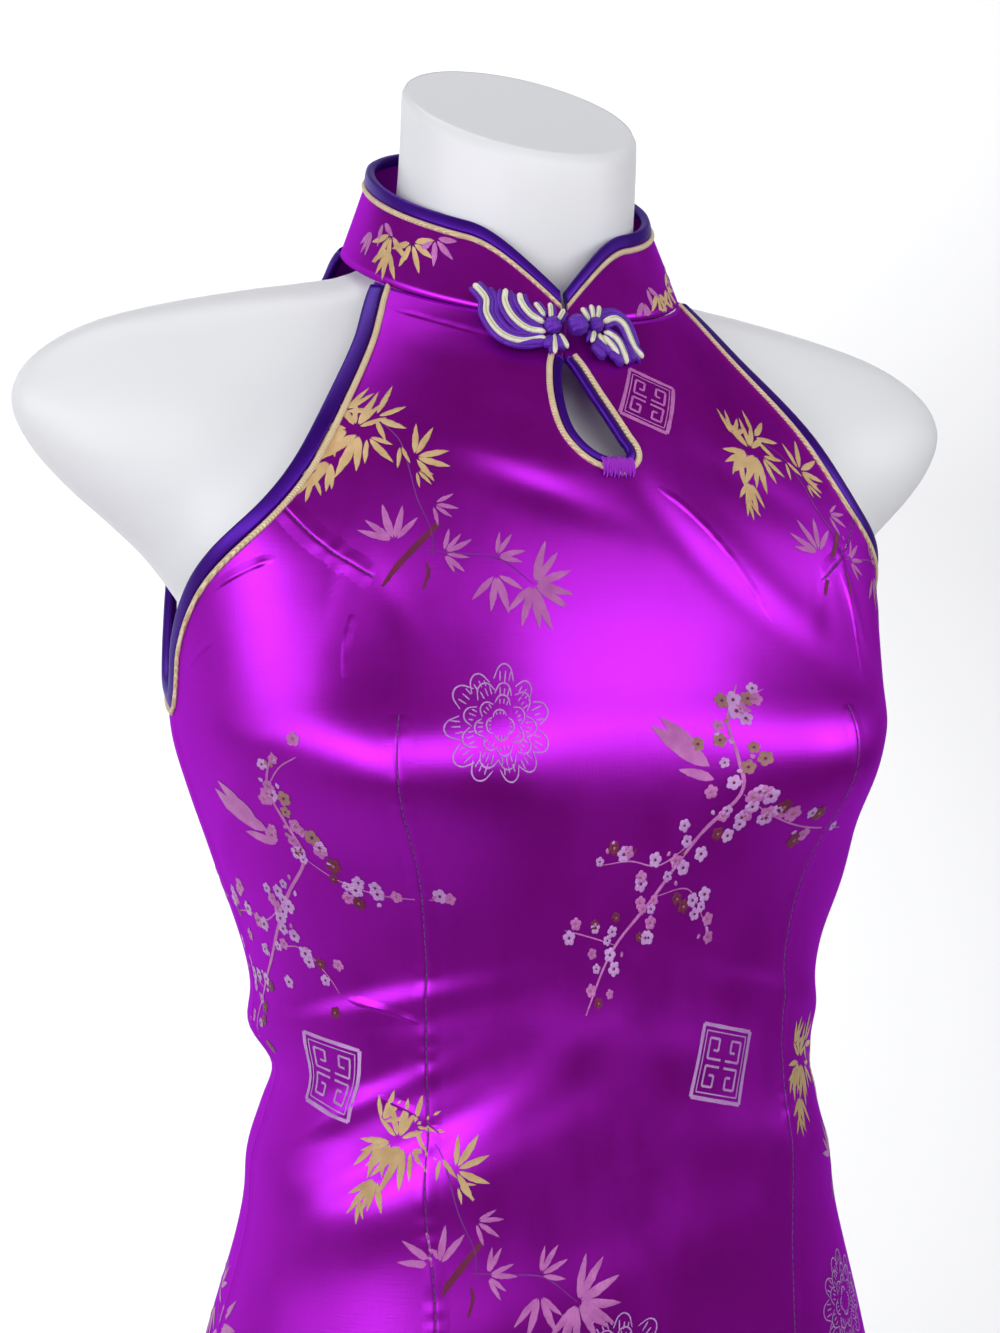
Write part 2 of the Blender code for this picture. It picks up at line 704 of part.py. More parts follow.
def build_form(collection, material):
    """The torso form, closed, with rounded shoulder ends and a slanted neck cap."""
    first = FORM_ROWS[0][0]
    halfway = (UNDERARM_Z + first) / 2
    heights = [FORM_LOW_Z + FORM_ROUND, *FORM_LOW_HEIGHTS, UNDERARM_Z, halfway]
    heights += [row[0] for row in FORM_ROWS]
    rings = [form_ring(at) for at in heights]
    centre = Vector((0.0, section("middle", FORM_LOW_Z), FORM_LOW_Z))
    low = []
    for point in rings[0]:
        flat = Vector((point.x, point.y, FORM_LOW_Z))
        low.append(flat + (centre - flat).normalized() * FORM_ROUND)
    rings.insert(0, low)
    points = [point for ring in rings for point in ring]
    faces = []
    for row in range(len(rings) - 1):
        for i in range(FORM_SIDES):
            a = row * FORM_SIDES + i
            b = row * FORM_SIDES + (i + 1) % FORM_SIDES
            faces.append((a, b, b + FORM_SIDES, a + FORM_SIDES))
    top = (len(rings) - 1) * FORM_SIDES
    faces.append(tuple(range(FORM_SIDES)))
    faces.append(tuple(range(top, top + FORM_SIDES)))
    mesh = mesh_from("form_torso", points, faces)
    face_outward(mesh)
    return new_object("form_torso", mesh, material, collection)


def turned(name, profile, collection, material):
    """A turned piece from an open profile that starts and ends on the axis."""
    mesh = bpy.data.meshes.new(name)
    edges = [(i, i + 1) for i in range(len(profile) - 1)]
    mesh.from_pydata([(radius, 0.0, z) for radius, z in profile], edges, [])
    item = new_object(name, mesh, material, collection)
    screw = item.modifiers.new("turn", "SCREW")
    screw.steps = TURNED_SIDES[name]
    screw.render_steps = TURNED_SIDES[name]
    screw.use_merge_vertices = True
    screw.merge_threshold = 0.0001
    screw.use_smooth_shade = True
    return item


def build_stand(collection, steel, white):
    """The flange, pole and round base that carry the form."""
    flange_top = FORM_LOW_Z - REST_GAP
    flange_low = flange_top - FLANGE_HEIGHT
    flange = ((0.0, flange_top), (FLANGE_RADIUS, flange_top),
              (FLANGE_RADIUS, flange_low + FLANGE_CHAMFER),
              (FLANGE_RADIUS * FLANGE_NARROW, flange_low), (0.0, flange_low))
    turned("stand_flange", flange, collection, steel)
    pole_top = flange_low - REST_GAP
    pole_low = BASE_CROWN + REST_GAP
    pole = ((0.0, pole_top), (POLE_RADIUS, pole_top), (POLE_RADIUS, pole_low), (0.0, pole_low))
    turned("stand_pole", pole, collection, steel)
    base = ((0.0, BASE_CROWN), *BASE_PROFILE, (0.0, 0.0))
    turned("stand_base", base, collection, white)


def main():
    """Build every piece."""
    clear_scene()
    collection = bpy.data.collections.new("cheongsam_on_form")
    bpy.context.scene.collection.children.link(collection)
    satin = make_material("purple_satin", SATIN, 0.35)
    binding = make_material("violet_binding", BINDING, 0.4)
    cream = make_material("cream_piping", CREAM, 0.5)
    white = make_material("white_shell", WHITE, 0.45)
    steel = make_material("brushed_steel", STEEL, 0.35, 1.0)

    build_front(collection, satin)
    build_back(collection, satin)
    build_collar(collection, satin)
    build_collar_strip("collar_binding", 0.0, COLLAR_BINDING, TRIM_WALL, collection, binding)
    near = COLLAR_BINDING + PIPING_SPACE
    build_collar_strip("collar_piping", near, near + PIPING_WIDTH, PIPING_WALL, collection, cream)
    near = ARM_BINDING_WIDTH + PIPING_SPACE
    for side, hand in (("right", -1), ("left", 1)):
        route = armhole_route(hand)
        build_strip(f"armhole_binding_{side}", route, 0.0, ARM_BINDING_WIDTH, TRIM_WALL,
                    hand, collection, binding)
        build_strip(f"armhole_piping_{side}", route, near, near + PIPING_WIDTH, PIPING_WALL,
                    hand, collection, cream)
    route = keyhole_route()
    near = KEY_BINDING_WIDTH + PIPING_SPACE
    build_strip("keyhole_binding", route, 0.0, KEY_BINDING_WIDTH, TRIM_WALL, 1, collection, binding)
    build_strip("keyhole_piping", route, near, near + PIPING_WIDTH, PIPING_WALL, 1, collection, cream)
    for side, hand, far, tip, off in WING_ROWS:
        build_wing(f"frog_wing_{side}", hand, far, tip, off, collection, binding)
    build_knot(collection, binding)
    build_form(collection, white)
    build_stand(collection, steel, white)


main()
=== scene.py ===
"""Cheongsam on a torso form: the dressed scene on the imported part.

The cloth, its edges, the frog and the woven motifs are fine surfaces on the same forms
as the part's solids. Metres, +Z up; the wearer faces -Y, their left hand is at +X.
"""

from __future__ import annotations

import logging
import math
from dataclasses import dataclass
from enum import Enum
from functools import lru_cache

import bpy
import numpy as np
from mathutils import Matrix, Vector

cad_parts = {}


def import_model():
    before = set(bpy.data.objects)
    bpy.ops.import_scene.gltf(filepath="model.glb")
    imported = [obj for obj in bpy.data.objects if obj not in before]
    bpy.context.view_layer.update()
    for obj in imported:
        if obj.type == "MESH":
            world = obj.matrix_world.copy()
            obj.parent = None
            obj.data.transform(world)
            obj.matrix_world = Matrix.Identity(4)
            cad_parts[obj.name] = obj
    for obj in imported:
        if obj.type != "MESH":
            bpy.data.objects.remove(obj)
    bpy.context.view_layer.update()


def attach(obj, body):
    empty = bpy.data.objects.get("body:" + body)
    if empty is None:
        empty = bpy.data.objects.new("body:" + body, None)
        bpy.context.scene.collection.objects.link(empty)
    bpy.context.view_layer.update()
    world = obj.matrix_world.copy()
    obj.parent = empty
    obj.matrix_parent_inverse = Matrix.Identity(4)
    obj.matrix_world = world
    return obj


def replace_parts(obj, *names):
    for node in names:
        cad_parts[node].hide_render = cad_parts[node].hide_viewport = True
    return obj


log = logging.getLogger("cheongsam")

BODY = "root"


class Slot(str, Enum):
    """The record's material slots."""

    SATIN = "satin"
    BINDING = "binding"
    PIPING = "piping"
    FROG = "frog_cord"
    SHELL = "form_shell"
    STEEL = "stand_metal"
    PAINT = "base_coat"


class Hand(Enum):
    """A side of the wearer."""

    RIGHT = -1
    LEFT = 1


def wrapped(turn: np.ndarray) -> np.ndarray:
    """Angles brought between -180 and 180 degrees."""
    return (np.asarray(turn) + 180.0) % 360.0 - 180.0


@dataclass(frozen=True)
class SizeTable:
    """Rows of named sizes, read at any height along a smooth curve.

    Args:
        columns: the names, the first of them the height.
        rows: the sizes, from low to high.
    """

    columns: tuple[str, ...]
    rows: tuple[tuple[float, ...], ...]

    def read(self, name: str, at: np.ndarray) -> np.ndarray:
        """The column's value at each height."""
        table = np.array(self.rows)
        heights = table[:, 0]
        values = table[:, self.columns.index(name)]
        after = np.minimum(np.arange(len(heights)) + 1, len(heights) - 1)
        before = np.maximum(np.arange(len(heights)) - 1, 0)
        slopes = (values[after] - values[before]) / (heights[after] - heights[before])
        at = np.clip(at, heights[0], heights[-1])
        low = np.clip(np.searchsorted(heights, at, side="right") - 1, 0, len(heights) - 2)
        span = heights[low + 1] - heights[low]
        t = (at - heights[low]) / span
        start = (1 + 2 * t) * (1 - t) ** 2 * values[low] + t * (1 - t) ** 2 * span * slopes[low]
        end = t * t * (3 - 2 * t) * values[low + 1] + t * t * (t - 1) * span * slopes[low + 1]
        return start + end


SECTIONS = SizeTable(
    ("height", "tilt", "middle", "side", "front", "back", "front_round", "back_round", "ease"),
    (
        (0.460, 0.00, -0.004, 0.137, 0.094, 0.100, 2.2, 2.2, 0.0060),
        (0.620, 0.00, -0.003, 0.150, 0.099, 0.114, 2.2, 2.2, 0.0040),
        (0.760, 0.00, -0.002, 0.156, 0.1015, 0.122, 2.3, 2.2, 0.0020),
        (0.840, 0.00, -0.002, 0.153, 0.0995, 0.122, 2.3, 2.2, 0.0012),
        (0.900, 0.00, -0.004, 0.140, 0.0975, 0.112, 2.3, 2.2, 0.0020),
        (0.960, 0.00, -0.008, 0.1235, 0.0945, 0.092, 2.3, 2.2, 0.0035),
        (1.015, 0.00, -0.011, 0.1145, 0.091, 0.080, 2.2, 2.2, 0.0045),
        (1.060, 0.00, -0.009, 0.1205, 0.094, 0.086, 2.2, 2.2, 0.0035),
        (1.105, 0.00, -0.005, 0.134, 0.104, 0.093, 2.4, 2.2, 0.0025),
        (1.130, 0.00, -0.003, 0.1420, 0.1095, 0.0945, 2.6, 2.2, 0.0022),
        (1.150, 0.00, -0.002, 0.1475, 0.1105, 0.095, 2.7, 2.2, 0.0020),
        (1.168, 0.00, 0.000, 0.149, 0.1095, 0.094, 2.7, 2.2, 0.0028),
        (1.200, 0.10, 0.001, 0.151, 0.105, 0.098, 2.6, 2.45, 0.0016),
        (1.230, 0.20, 0.002, 0.153, 0.099, 0.101, 2.4, 2.6, 0.0016),
        (1.260, 0.30, 0.005, 0.142, 0.092, 0.095, 2.25, 2.45, 0.0016),
        (1.290, 0.40, 0.007, 0.098, 0.0805, 0.081, 2.1, 2.1, 0.0016),
        (1.311, 0.45, 0.009, 0.0715, 0.0715, 0.0715, 2.0, 2.0, 0.0016),
    ),
)
ARMHOLE = SizeTable(
    ("height", "front", "back"),
    (
        (1.168, 90.0, 90.0),
        (1.173, 88.0, 97.0),
        (1.184, 85.0, 103.0),
        (1.200, 77.5, 109.0),
        (1.230, 63.0, 119.0),
        (1.260, 57.5, 130.0),
        (1.290, 61.0, 133.0),
        (1.311, 70.0, 121.0),
    ),
)
KEYHOLE = SizeTable(
    ("height", "right", "left"),
    (
        (1.2525, 0.0056, 0.0056),
        (1.2560, -0.0036, 0.0098),
        (1.2620, -0.0098, 0.0073),
        (1.2690, -0.0126, 0.0040),
        (1.2800, -0.0132, -0.0013),
        (1.2900, -0.0116, -0.0056),
        (1.2960, -0.0092, -0.0084),
        (1.3110, -0.0046, -0.0040),
    ),
)


@dataclass(frozen=True)
class Fold:
    """A soft ridge or trough in the cloth.

    Args:
        turn: degrees round from the centre front.
        height: at its middle.
        length: half of it, along the fold.
        width: half of it, across.
        lift: how far it stands out, less than 0 for a trough.
        slant: degrees from level.
        bend: how much it curves, across per along squared.
    """

    turn: float
    height: float
    length: float
    width: float
    lift: float
    slant: float
    bend: float = 0.0


# The solids' own folds
MAIN_FOLDS = (
    Fold(-98.0, 1.036, 0.070, 0.011, 0.0050, 4.0),
    Fold(-98.0, 1.018, 0.060, 0.009, -0.0030, 4.0),
    Fold(-92.0, 0.985, 0.060, 0.016, 0.0040, -4.0),
    Fold(-45.0, 0.985, 0.060, 0.014, 0.0022, 24.0),
    Fold(-20.0, 0.935, 0.070, 0.018, 0.0020, 18.0),
    Fold(84.0, 1.030, 0.045, 0.010, 0.0035, -8.0),
    Fold(60.0, 0.980, 0.060, 0.015, 0.0022, -14.0),
    Fold(118.0, 1.006, 0.060, 0.013, 0.0040, 5.0),
    Fold(170.0, 1.010, 0.080, 0.014, 0.0050, 3.0),
    Fold(-150.0, 0.970, 0.070, 0.016, 0.0035, -5.0),
    Fold(66.0, 1.085, 0.050, 0.014, 0.0025, -32.0),
    Fold(-66.0, 1.082, 0.050, 0.014, 0.0022, 30.0),
    Fold(-35.0, 0.600, 0.150, 0.028, 0.0040, 84.0),
    Fold(38.0, 0.590, 0.150, 0.028, 0.0040, 97.0),
    Fold(180.0, 0.600, 0.160, 0.030, 0.0040, 90.0),
)


# Fine creases, most of them drawn from the closing, the darts and the waist
CREASES = (
    Fold(-36.0, 1.3035, 0.026, 0.0024, -0.0006, 2.0),
    Fold(-27.0, 1.2905, 0.030, 0.0060, 0.0011, -6.0),
    Fold(-28.0, 1.2710, 0.034, 0.0075, -0.0013, -8.0),
    Fold(-21.0, 1.2550, 0.030, 0.0070, 0.0012, -14.0),
    Fold(-17.0, 1.2400, 0.028, 0.0055, -0.0009, -18.0),
    Fold(24.0, 1.2200, 0.046, 0.0090, 0.0012, -50.0, 3.0),
    Fold(14.0, 1.2260, 0.040, 0.0060, -0.0008, -54.0, 3.0),
    Fold(34.0, 1.2450, 0.030, 0.0080, -0.0009, -30.0),
    Fold(-51.5, 1.2030, 0.022, 0.0030, 0.0007, 82.0),
    Fold(-42.5, 1.1990, 0.014, 0.0040, -0.0010, -62.0),
    Fold(51.5, 1.2030, 0.022, 0.0030, 0.0007, 98.0),
    Fold(43.0, 1.2000, 0.014, 0.0040, -0.0009, -118.0),
    Fold(-53.0, 1.0520, 0.040, 0.0050, 0.0012, 12.0),
    Fold(-62.0, 1.0120, 0.036, 0.0045, 0.0012, 26.0),
    Fold(-50.0, 0.9990, 0.040, 0.0060, -0.0011, 30.0),
    Fold(-30.0, 1.0150, 0.046, 0.0080, 0.0008, 34.0),
    Fold(8.0, 1.0300, 0.050, 0.0120, 0.0007, -10.0),
    Fold(40.0, 1.0480, 0.034, 0.0060, 0.0010, -16.0),
    Fold(62.0, 1.0140, 0.030, 0.0050, -0.0010, -20.0),
    Fold(72.0, 1.1250, 0.030, 0.0060, 0.0009, -40.0),
    Fold(-74.0, 1.1230, 0.030, 0.0060, 0.0009, 38.0),
    Fold(-140.0, 1.2700, 0.030, 0.0060, 0.0010, 50.0),
    Fold(142.0, 1.2660, 0.030, 0.0060, 0.0010, -52.0),
    Fold(-160.0, 1.0380, 0.050, 0.0060, 0.0014, 6.0),
    Fold(155.0, 0.9900, 0.050, 0.0070, 0.0013, -10.0),
    Fold(176.0, 1.0580, 0.060, 0.0070, -0.0012, -3.0),
    Fold(-125.0, 1.0030, 0.040, 0.0060, -0.0012, 12.0),
    Fold(130.0, 1.0400, 0.040, 0.0055, 0.0012, -14.0),
    Fold(-10.0, 0.7200, 0.120, 0.0200, 0.0016, 82.0),
    Fold(62.0, 0.7000, 0.120, 0.0180, 0.0016, 96.0),
    Fold(-70.0, 0.6400, 0.130, 0.0200, -0.0016, 86.0),
    Fold(150.0, 0.6800, 0.130, 0.0200, 0.0016, 94.0),
    Fold(-150.0, 0.7000, 0.130, 0.0200, 0.0016, 86.0),
)


class DressSurface:
    """The outer face of the dress, at any height along the centre front and any turn."""

    WALL = 0.0012
    HEM = 0.460
    SLIT_TOP = 0.690
    UNDERARM = 1.168
    KEYHOLE_LOW = 1.2525
    NECK = 1.311
    SEAM_GAP = 0.0003
    SLIT_SPREAD = 0.007
    BUST_TURN = 38.0
    BUST_Z = 1.138
    BUST_LIFT = 0.015
    BUST_SPREAD = 17.0
    BUST_ABOVE = 0.040
    BUST_BELOW = 0.032
    KEYHOLE_DRIFT = 0.12
    EDGE_MARGIN = 0.7

    def __init__(self, creases: tuple[Fold, ...] = ()) -> None:
        """Args: creases: the fine ones, beside the main folds."""
        self.folds = MAIN_FOLDS + creases

    def body_reach(self, at: np.ndarray, turn: np.ndarray) -> np.ndarray:
        """Reach before folds, from the section's middle."""
        facing = np.abs(wrapped(turn)) <= 90.0
        side = SECTIONS.read("side", at)
        depth = np.where(facing, SECTIONS.read("front", at), SECTIONS.read("back", at))
        power = np.where(facing, SECTIONS.read("front_round", at), SECTIONS.read("back_round", at))
        across = np.abs(np.sin(np.radians(turn))) / side
        along = np.abs(np.cos(np.radians(turn))) / depth
        reach = (across ** power + along ** power) ** (-1 / power)
        spread = np.where(at > self.BUST_Z, self.BUST_ABOVE, self.BUST_BELOW)
        off = (np.abs(wrapped(turn)) - self.BUST_TURN) / self.BUST_SPREAD
        return reach + self.BUST_LIFT * np.exp(-((at - self.BUST_Z) / spread) ** 2 - off * off)

    def fold_lift(self, at: np.ndarray, turn: np.ndarray, reach: np.ndarray) -> np.ndarray:
        """How far all folds lift the cloth."""
        total = np.zeros_like(reach)
        for fold in self.folds:
            across = np.radians(wrapped(turn - fold.turn)) * reach
            up = at - fold.height
            cos, sin = math.cos(math.radians(fold.slant)), math.sin(math.radians(fold.slant))
            run = across * cos + up * sin
            over = up * cos - across * sin - fold.bend * run * run
            total += fold.lift * np.exp(-(run / fold.length) ** 2 - (over / fold.width) ** 2)
        return total

    def point(self, at: np.ndarray, turn: np.ndarray) -> np.ndarray:
        """Points on the outer face, an array with x, y and z last."""
        at, turn = np.broadcast_arrays(np.asarray(at, float), np.asarray(turn, float))
        reach = self.body_reach(at, turn)
        reach = reach + self.fold_lift(at, turn, reach)
        middle = SECTIONS.read("middle", at)
        y = middle - reach * np.cos(np.radians(turn))
        front_y = middle - SECTIONS.read("front", at)
        z = at + SECTIONS.read("tilt", at) * (y - front_y)
        return np.stack((reach * np.sin(np.radians(turn)), y, z), axis=-1)

    def normal(self, at: np.ndarray, turn: np.ndarray) -> np.ndarray:
        """Outward directions."""
        at = np.asarray(at, float)
        up = self.point(np.minimum(at + 0.002, self.NECK), turn) - self.point(at - 0.002, turn)
        across = self.point(at, np.asarray(turn) + 1.0) - self.point(at, np.asarray(turn) - 1.0)
        out = np.cross(across, up)
        return out / np.linalg.norm(out, axis=-1, keepdims=True)

    def lifted(self, at: np.ndarray, turn: np.ndarray, lift: np.ndarray) -> np.ndarray:
        """Points off the outer face."""
        return self.point(at, turn) + self.normal(at, turn) * np.asarray(lift)[..., None]

    def place(self, points: np.ndarray) -> tuple[np.ndarray, np.ndarray]:
        """Height and turn nearest to points close to the cloth."""
        at = points[..., 2]
        for _ in range(12):
            front_y = SECTIONS.read("middle", at) - SECTIONS.read("front", at)
            at = points[..., 2] - SECTIONS.read("tilt", at) * (points[..., 1] - front_y)
            at = np.clip(at, self.HEM, self.NECK)
        middle = SECTIONS.read("middle", at)
        return at, np.degrees(np.arctan2(points[..., 0], middle - points[..., 1]))

    def spread(self, turn: float, height: float, across: np.ndarray,
               up: np.ndarray) -> tuple[np.ndarray, np.ndarray]:
        """Heights and turns of places some metres of cloth across and up from a place."""
        step_turn, step_up = self.rates(turn, height)
        return height + up / step_up, turn + across / step_turn

    @lru_cache(maxsize=None)
    def rates(self, turn: float, height: float) -> tuple[float, float]:
        """Metres of cloth for a degree across and for a metre up."""
        across = self.point(height, turn + 1.0) - self.point(height, turn - 1.0)
        up = self.point(height + 0.01, turn) - self.point(height - 0.01, turn)
        return float(np.linalg.norm(across)) / 2, float(np.linalg.norm(up)) / 0.02

    def turn_at_x(self, at: np.ndarray, x: np.ndarray) -> np.ndarray:
        """Turn where a section passes a place near the centre front."""
        turn = np.zeros_like(np.asarray(x, float) + at)
        for _ in range(8):
            turn = np.degrees(np.arcsin(x / self.body_reach(at, turn)))
        return turn

    def armhole(self, name: str, at: np.ndarray) -> np.ndarray:
        """Turn of the armhole's edge, or of the side seam below it."""
        return np.where(at <= self.UNDERARM, 90.0, ARMHOLE.read(name, at))

    def keyhole(self, name: str, at: np.ndarray) -> np.ndarray:
        """Turn of a keyhole edge; below the keyhole both ease to the middle."""
        low = KEYHOLE.rows[0][1]
        drift = np.maximum(0.0, 1.0 - (self.KEYHOLE_LOW - at) / self.KEYHOLE_DRIFT)
        x = np.where(at <= self.KEYHOLE_LOW, low * drift, KEYHOLE.read(name, at))
        return self.turn_at_x(at, x)

    def covered(self, at: np.ndarray, turn: np.ndarray) -> np.ndarray:
        """Where the cloth is, clear of its cut edges."""
        edge = self.EDGE_MARGIN
        front = np.abs(wrapped(turn)) < self.armhole("front", at) - edge
        back = np.abs(wrapped(turn)) > self.armhole("back", at) + edge
        slit = (at > KEYHOLE.rows[0][0]) & (turn > self.keyhole("right", at) - edge) & \
            (turn < self.keyhole("left", at) + edge) & (np.abs(wrapped(turn)) < 60.0)
        return (front | back) & ~slit & (at < self.NECK - 0.002) & (at > self.HEM + 0.002)

    def side_gap(self, at: np.ndarray) -> np.ndarray:
        """Half the gap at the side, wider down the slit, in degrees."""
        share = np.clip((self.SLIT_TOP - at) / (self.SLIT_TOP - self.HEM), 0.0, 1.0)
        half = self.SEAM_GAP / 2 + self.SLIT_SPREAD * share ** 1.4
        return np.degrees(half / SECTIONS.read("side", at))


def grid_faces(rows: int, columns: int, start: int = 0, closed: bool = False) -> list[tuple]:
    """Quads of a grid of points that runs row by row.

    Args:
        rows: points up.
        columns: points across.
        start: index of the first point.
        closed: joins the last column to the first.
    """
    faces = []
    wide = columns if closed else columns - 1
    for row in range(rows - 1):
        for i in range(wide):
            a = start + row * columns + i
            b = start + row * columns + (i + 1) % columns
            faces.append((a, b, b + columns, a + columns))
    return faces


def make_piece(name: str, points: np.ndarray, faces: list[tuple], material: bpy.types.Material,
               uv: np.ndarray | None = None) -> bpy.types.Object:
    """A smooth mesh that rides on the part.

    Args:
        name: the piece's name.
        points: an array of x, y and z.
        faces: corner indices of each face.
        material: its finish.
        uv: two cloth coordinates in metres for each point.
    """
    mesh = bpy.data.meshes.new(name)
    mesh.from_pydata([tuple(p) for p in np.asarray(points).reshape(-1, 3)], [], faces)
    if uv is not None:
        layer = mesh.uv_layers.new(name="cloth")
        corners = np.zeros(len(mesh.loops), dtype=np.int32)
        mesh.loops.foreach_get("vertex_index", corners)
        layer.data.foreach_set("uv", np.asarray(uv).reshape(-1, 2)[corners].ravel())
    mesh.validate()
    mesh.update()
    mesh.shade_smooth()
    mesh.materials.append(material)
    item = bpy.data.objects.new(name, mesh)
    bpy.context.scene.collection.objects.link(item)
    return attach(item, BODY)


def add_wall(item: bpy.types.Object, thickness: float) -> None:
    """Thicken a shell inwards."""
    wall = item.modifiers.new("wall", "SOLIDIFY")
    wall.thickness = thickness
    wall.offset = -1.0


def tube_points(path: np.ndarray, radius: np.ndarray, sides: int) -> np.ndarray:
    """Rings round a path, an array of stations by sides by 3.

    Args:
        path: the centre line's points.
        radius: one size for each point.
        sides: points in a ring.
    """
    guide = np.array((0.0, -1.0, 0.1))
    rings = []
    for centre, ahead, size in zip(path, directions(path), np.broadcast_to(radius, len(path))):
        across = np.cross(ahead, guide)
        across /= max(np.linalg.norm(across), 1e-6)
        up = np.cross(across, ahead)
        guide = up
        turn = np.arange(sides) * 2 * np.pi / sides
        rings.append(centre + size * (np.cos(turn)[:, None] * across + np.sin(turn)[:, None] * up))
    return np.array(rings)


def directions(path: np.ndarray) -> np.ndarray:
    """Unit directions along a path."""
    ahead = np.gradient(path, axis=0)
    return ahead / np.linalg.norm(ahead, axis=1, keepdims=True)


def run_along(path: np.ndarray) -> np.ndarray:
    """How far each point is along a path."""
    return np.concatenate(([0.0], np.cumsum(np.linalg.norm(np.diff(path, axis=0), axis=1))))


def end_faces(rows: int, columns: int) -> list[tuple]:
    """The two faces that close a tube of such rows."""
    last = (rows - 1) * columns
    return [tuple(range(columns))[::-1], tuple(range(last, last + columns))]


def smooth_path(points: list[tuple[float, ...]], steps: int) -> np.ndarray:
    """A Catmull-Rom curve through points, with equal steps in each stretch."""
    knots = np.array(points, float)
    knots = np.vstack((2 * knots[0] - knots[1], knots, 2 * knots[-1] - knots[-2]))
    path = []
    for i in range(1, len(knots) - 2):
        a, b, c, d = knots[i - 1:i + 3]
        for t in np.arange(steps) / steps:
            path.append(0.5 * (2 * b + (c - a) * t + (2 * a - 5 * b + 4 * c - d) * t * t
                               + (3 * b - a - 3 * c + d) * t ** 3))
    path.append(knots[-2])
    return np.array(path)


class Graph:
    """A node material, built step by step."""

    def __init__(self, name: str) -> None:
        """Args: name: the material's name."""
        self.material = bpy.data.materials.new(name)
        self.material.use_nodes = True
        self.tree = self.material.node_tree
        self.shader = self.tree.nodes["Principled BSDF"]

    def add(self, kind: str, inputs: dict | None = None, **settings) -> bpy.types.Node:
        """A node with its settings, and values or sources for its inputs."""
        node = self.tree.nodes.new("ShaderNode" + kind)
        for key, value in settings.items():
            setattr(node, key, value)
        for key, value in (inputs or {}).items():
            self.put(node.inputs[key], value)
        return node

    def put(self, socket: bpy.types.NodeSocket, value) -> None:
        """Link an output to a socket, or set its value."""
        if isinstance(value, bpy.types.NodeSocket):
            self.tree.links.new(value, socket)
        else:
            socket.default_value = value

    def look(self, **values) -> None:
        """Set the shader's inputs, with underscores for the spaces in their names."""
        for key, value in values.items():
            self.put(self.shader.inputs[key.replace("_", " ")], value)

    def ramp(self, factor: bpy.types.NodeSocket, stops: tuple) -> bpy.types.NodeSocket:
        """A colour ramp through (place, colour) stops."""
        node = self.add("ValToRGB", {"Fac": factor})
        for place, colour in stops[1:-1]:
            node.color_ramp.elements.new(place).color = (*colour, 1.0)
        node.color_ramp.elements[0].position = stops[0][0]
        node.color_ramp.elements[0].color = (*stops[0][1], 1.0)
        node.color_ramp.elements[-1].position = stops[-1][0]
        node.color_ramp.elements[-1].color = (*stops[-1][1], 1.0)
        return node.outputs["Color"]

    def stretched(self, source: bpy.types.NodeSocket, scale: tuple) -> bpy.types.NodeSocket:
        """Texture coordinates scaled along each axis."""
        return self.add("Mapping", {"Vector": source, "Scale": scale}).outputs["Vector"]

    def noise(self, vector: bpy.types.NodeSocket, scale: float,
              detail: float = 3.0) -> bpy.types.NodeSocket:
        """A noise texture's value."""
        node = self.add("TexNoise", {"Vector": vector, "Scale": scale, "Detail": detail})
        return node.outputs["Fac"]

    def bump(self, height: bpy.types.NodeSocket, distance: float,
             strength: float = 1.0, under: bpy.types.NodeSocket | None = None) -> bpy.types.NodeSocket:
        """A bumped normal."""
        inputs = {"Height": height, "Distance": distance, "Strength": strength}
        if under is not None:
            inputs["Normal"] = under
        return self.add("Bump", inputs).outputs["Normal"]


@dataclass(frozen=True)
class SatinFinish:
    """Woven satin: long warp floats up the cloth, seen as fine vertical threads.

    Args:
        low, high: colours of the weave.
        shine: colour of its highlights.
        roughness: blur of its shine.
        metallic: how much of the colour the shine takes.
        stretch: how far the threads spread a highlight across them.
        bend: its index of refraction, high for a strong shine.
    """

    low: tuple[float, float, float]
    high: tuple[float, float, float]
    shine: tuple[float, float, float]
    roughness: float = 0.4
    metallic: float = 0.6
    stretch: float = 0.5
    bend: float = 5.0

    # How many threads, slubs and patches a metre has, across and up
    WARP = (2600.0, 90.0, 1.0)
    SLUB = (60.0, 1500.0, 1.0)
    PATCH = (26.0, 26.0, 1.0)

    def build(self, name: str) -> bpy.types.Material:
        """The material, on cloth coordinates in metres."""
        graph = Graph(name)
        cloth = graph.add("UVMap", uv_map="cloth").outputs["UV"]
        warp = graph.noise(graph.stretched(cloth, self.WARP), 1.0, 2.0)
        slub = graph.noise(graph.stretched(cloth, self.SLUB), 1.0, 2.0)
        patch = graph.noise(graph.stretched(cloth, self.PATCH), 1.0, 4.0)
        mixed = graph.add("Math", {0: warp, 1: slub}, operation="ADD").outputs[0]
        mixed = graph.add("Math", {0: mixed, 1: patch, 2: 0.0}, operation="ADD").outputs[0]
        share = graph.add("MapRange", {"Value": mixed, "From Min": 1.0, "From Max": 2.0}).outputs[0]
        colour = graph.ramp(share, ((0.0, self.low), (1.0, self.high)))
        rough = graph.add("MapRange", {"Value": patch, "From Min": 0.3, "From Max": 0.7,
                                       "To Min": self.roughness - 0.04,
                                       "To Max": self.roughness + 0.05}).outputs[0]
        fine = graph.bump(warp, 0.00008, 0.5)
        weave = graph.bump(slub, 0.00006, 0.35, fine)
        tangent = graph.add("Tangent", direction_type="UV_MAP", uv_map="cloth").outputs["Tangent"]
        graph.look(Base_Color=colour, Roughness=rough, Metallic=self.metallic,
                   Anisotropic=self.stretch, Tangent=tangent, Normal=weave,
                   Specular_Tint=(*self.shine, 1.0), IOR=self.bend)
        return graph.material


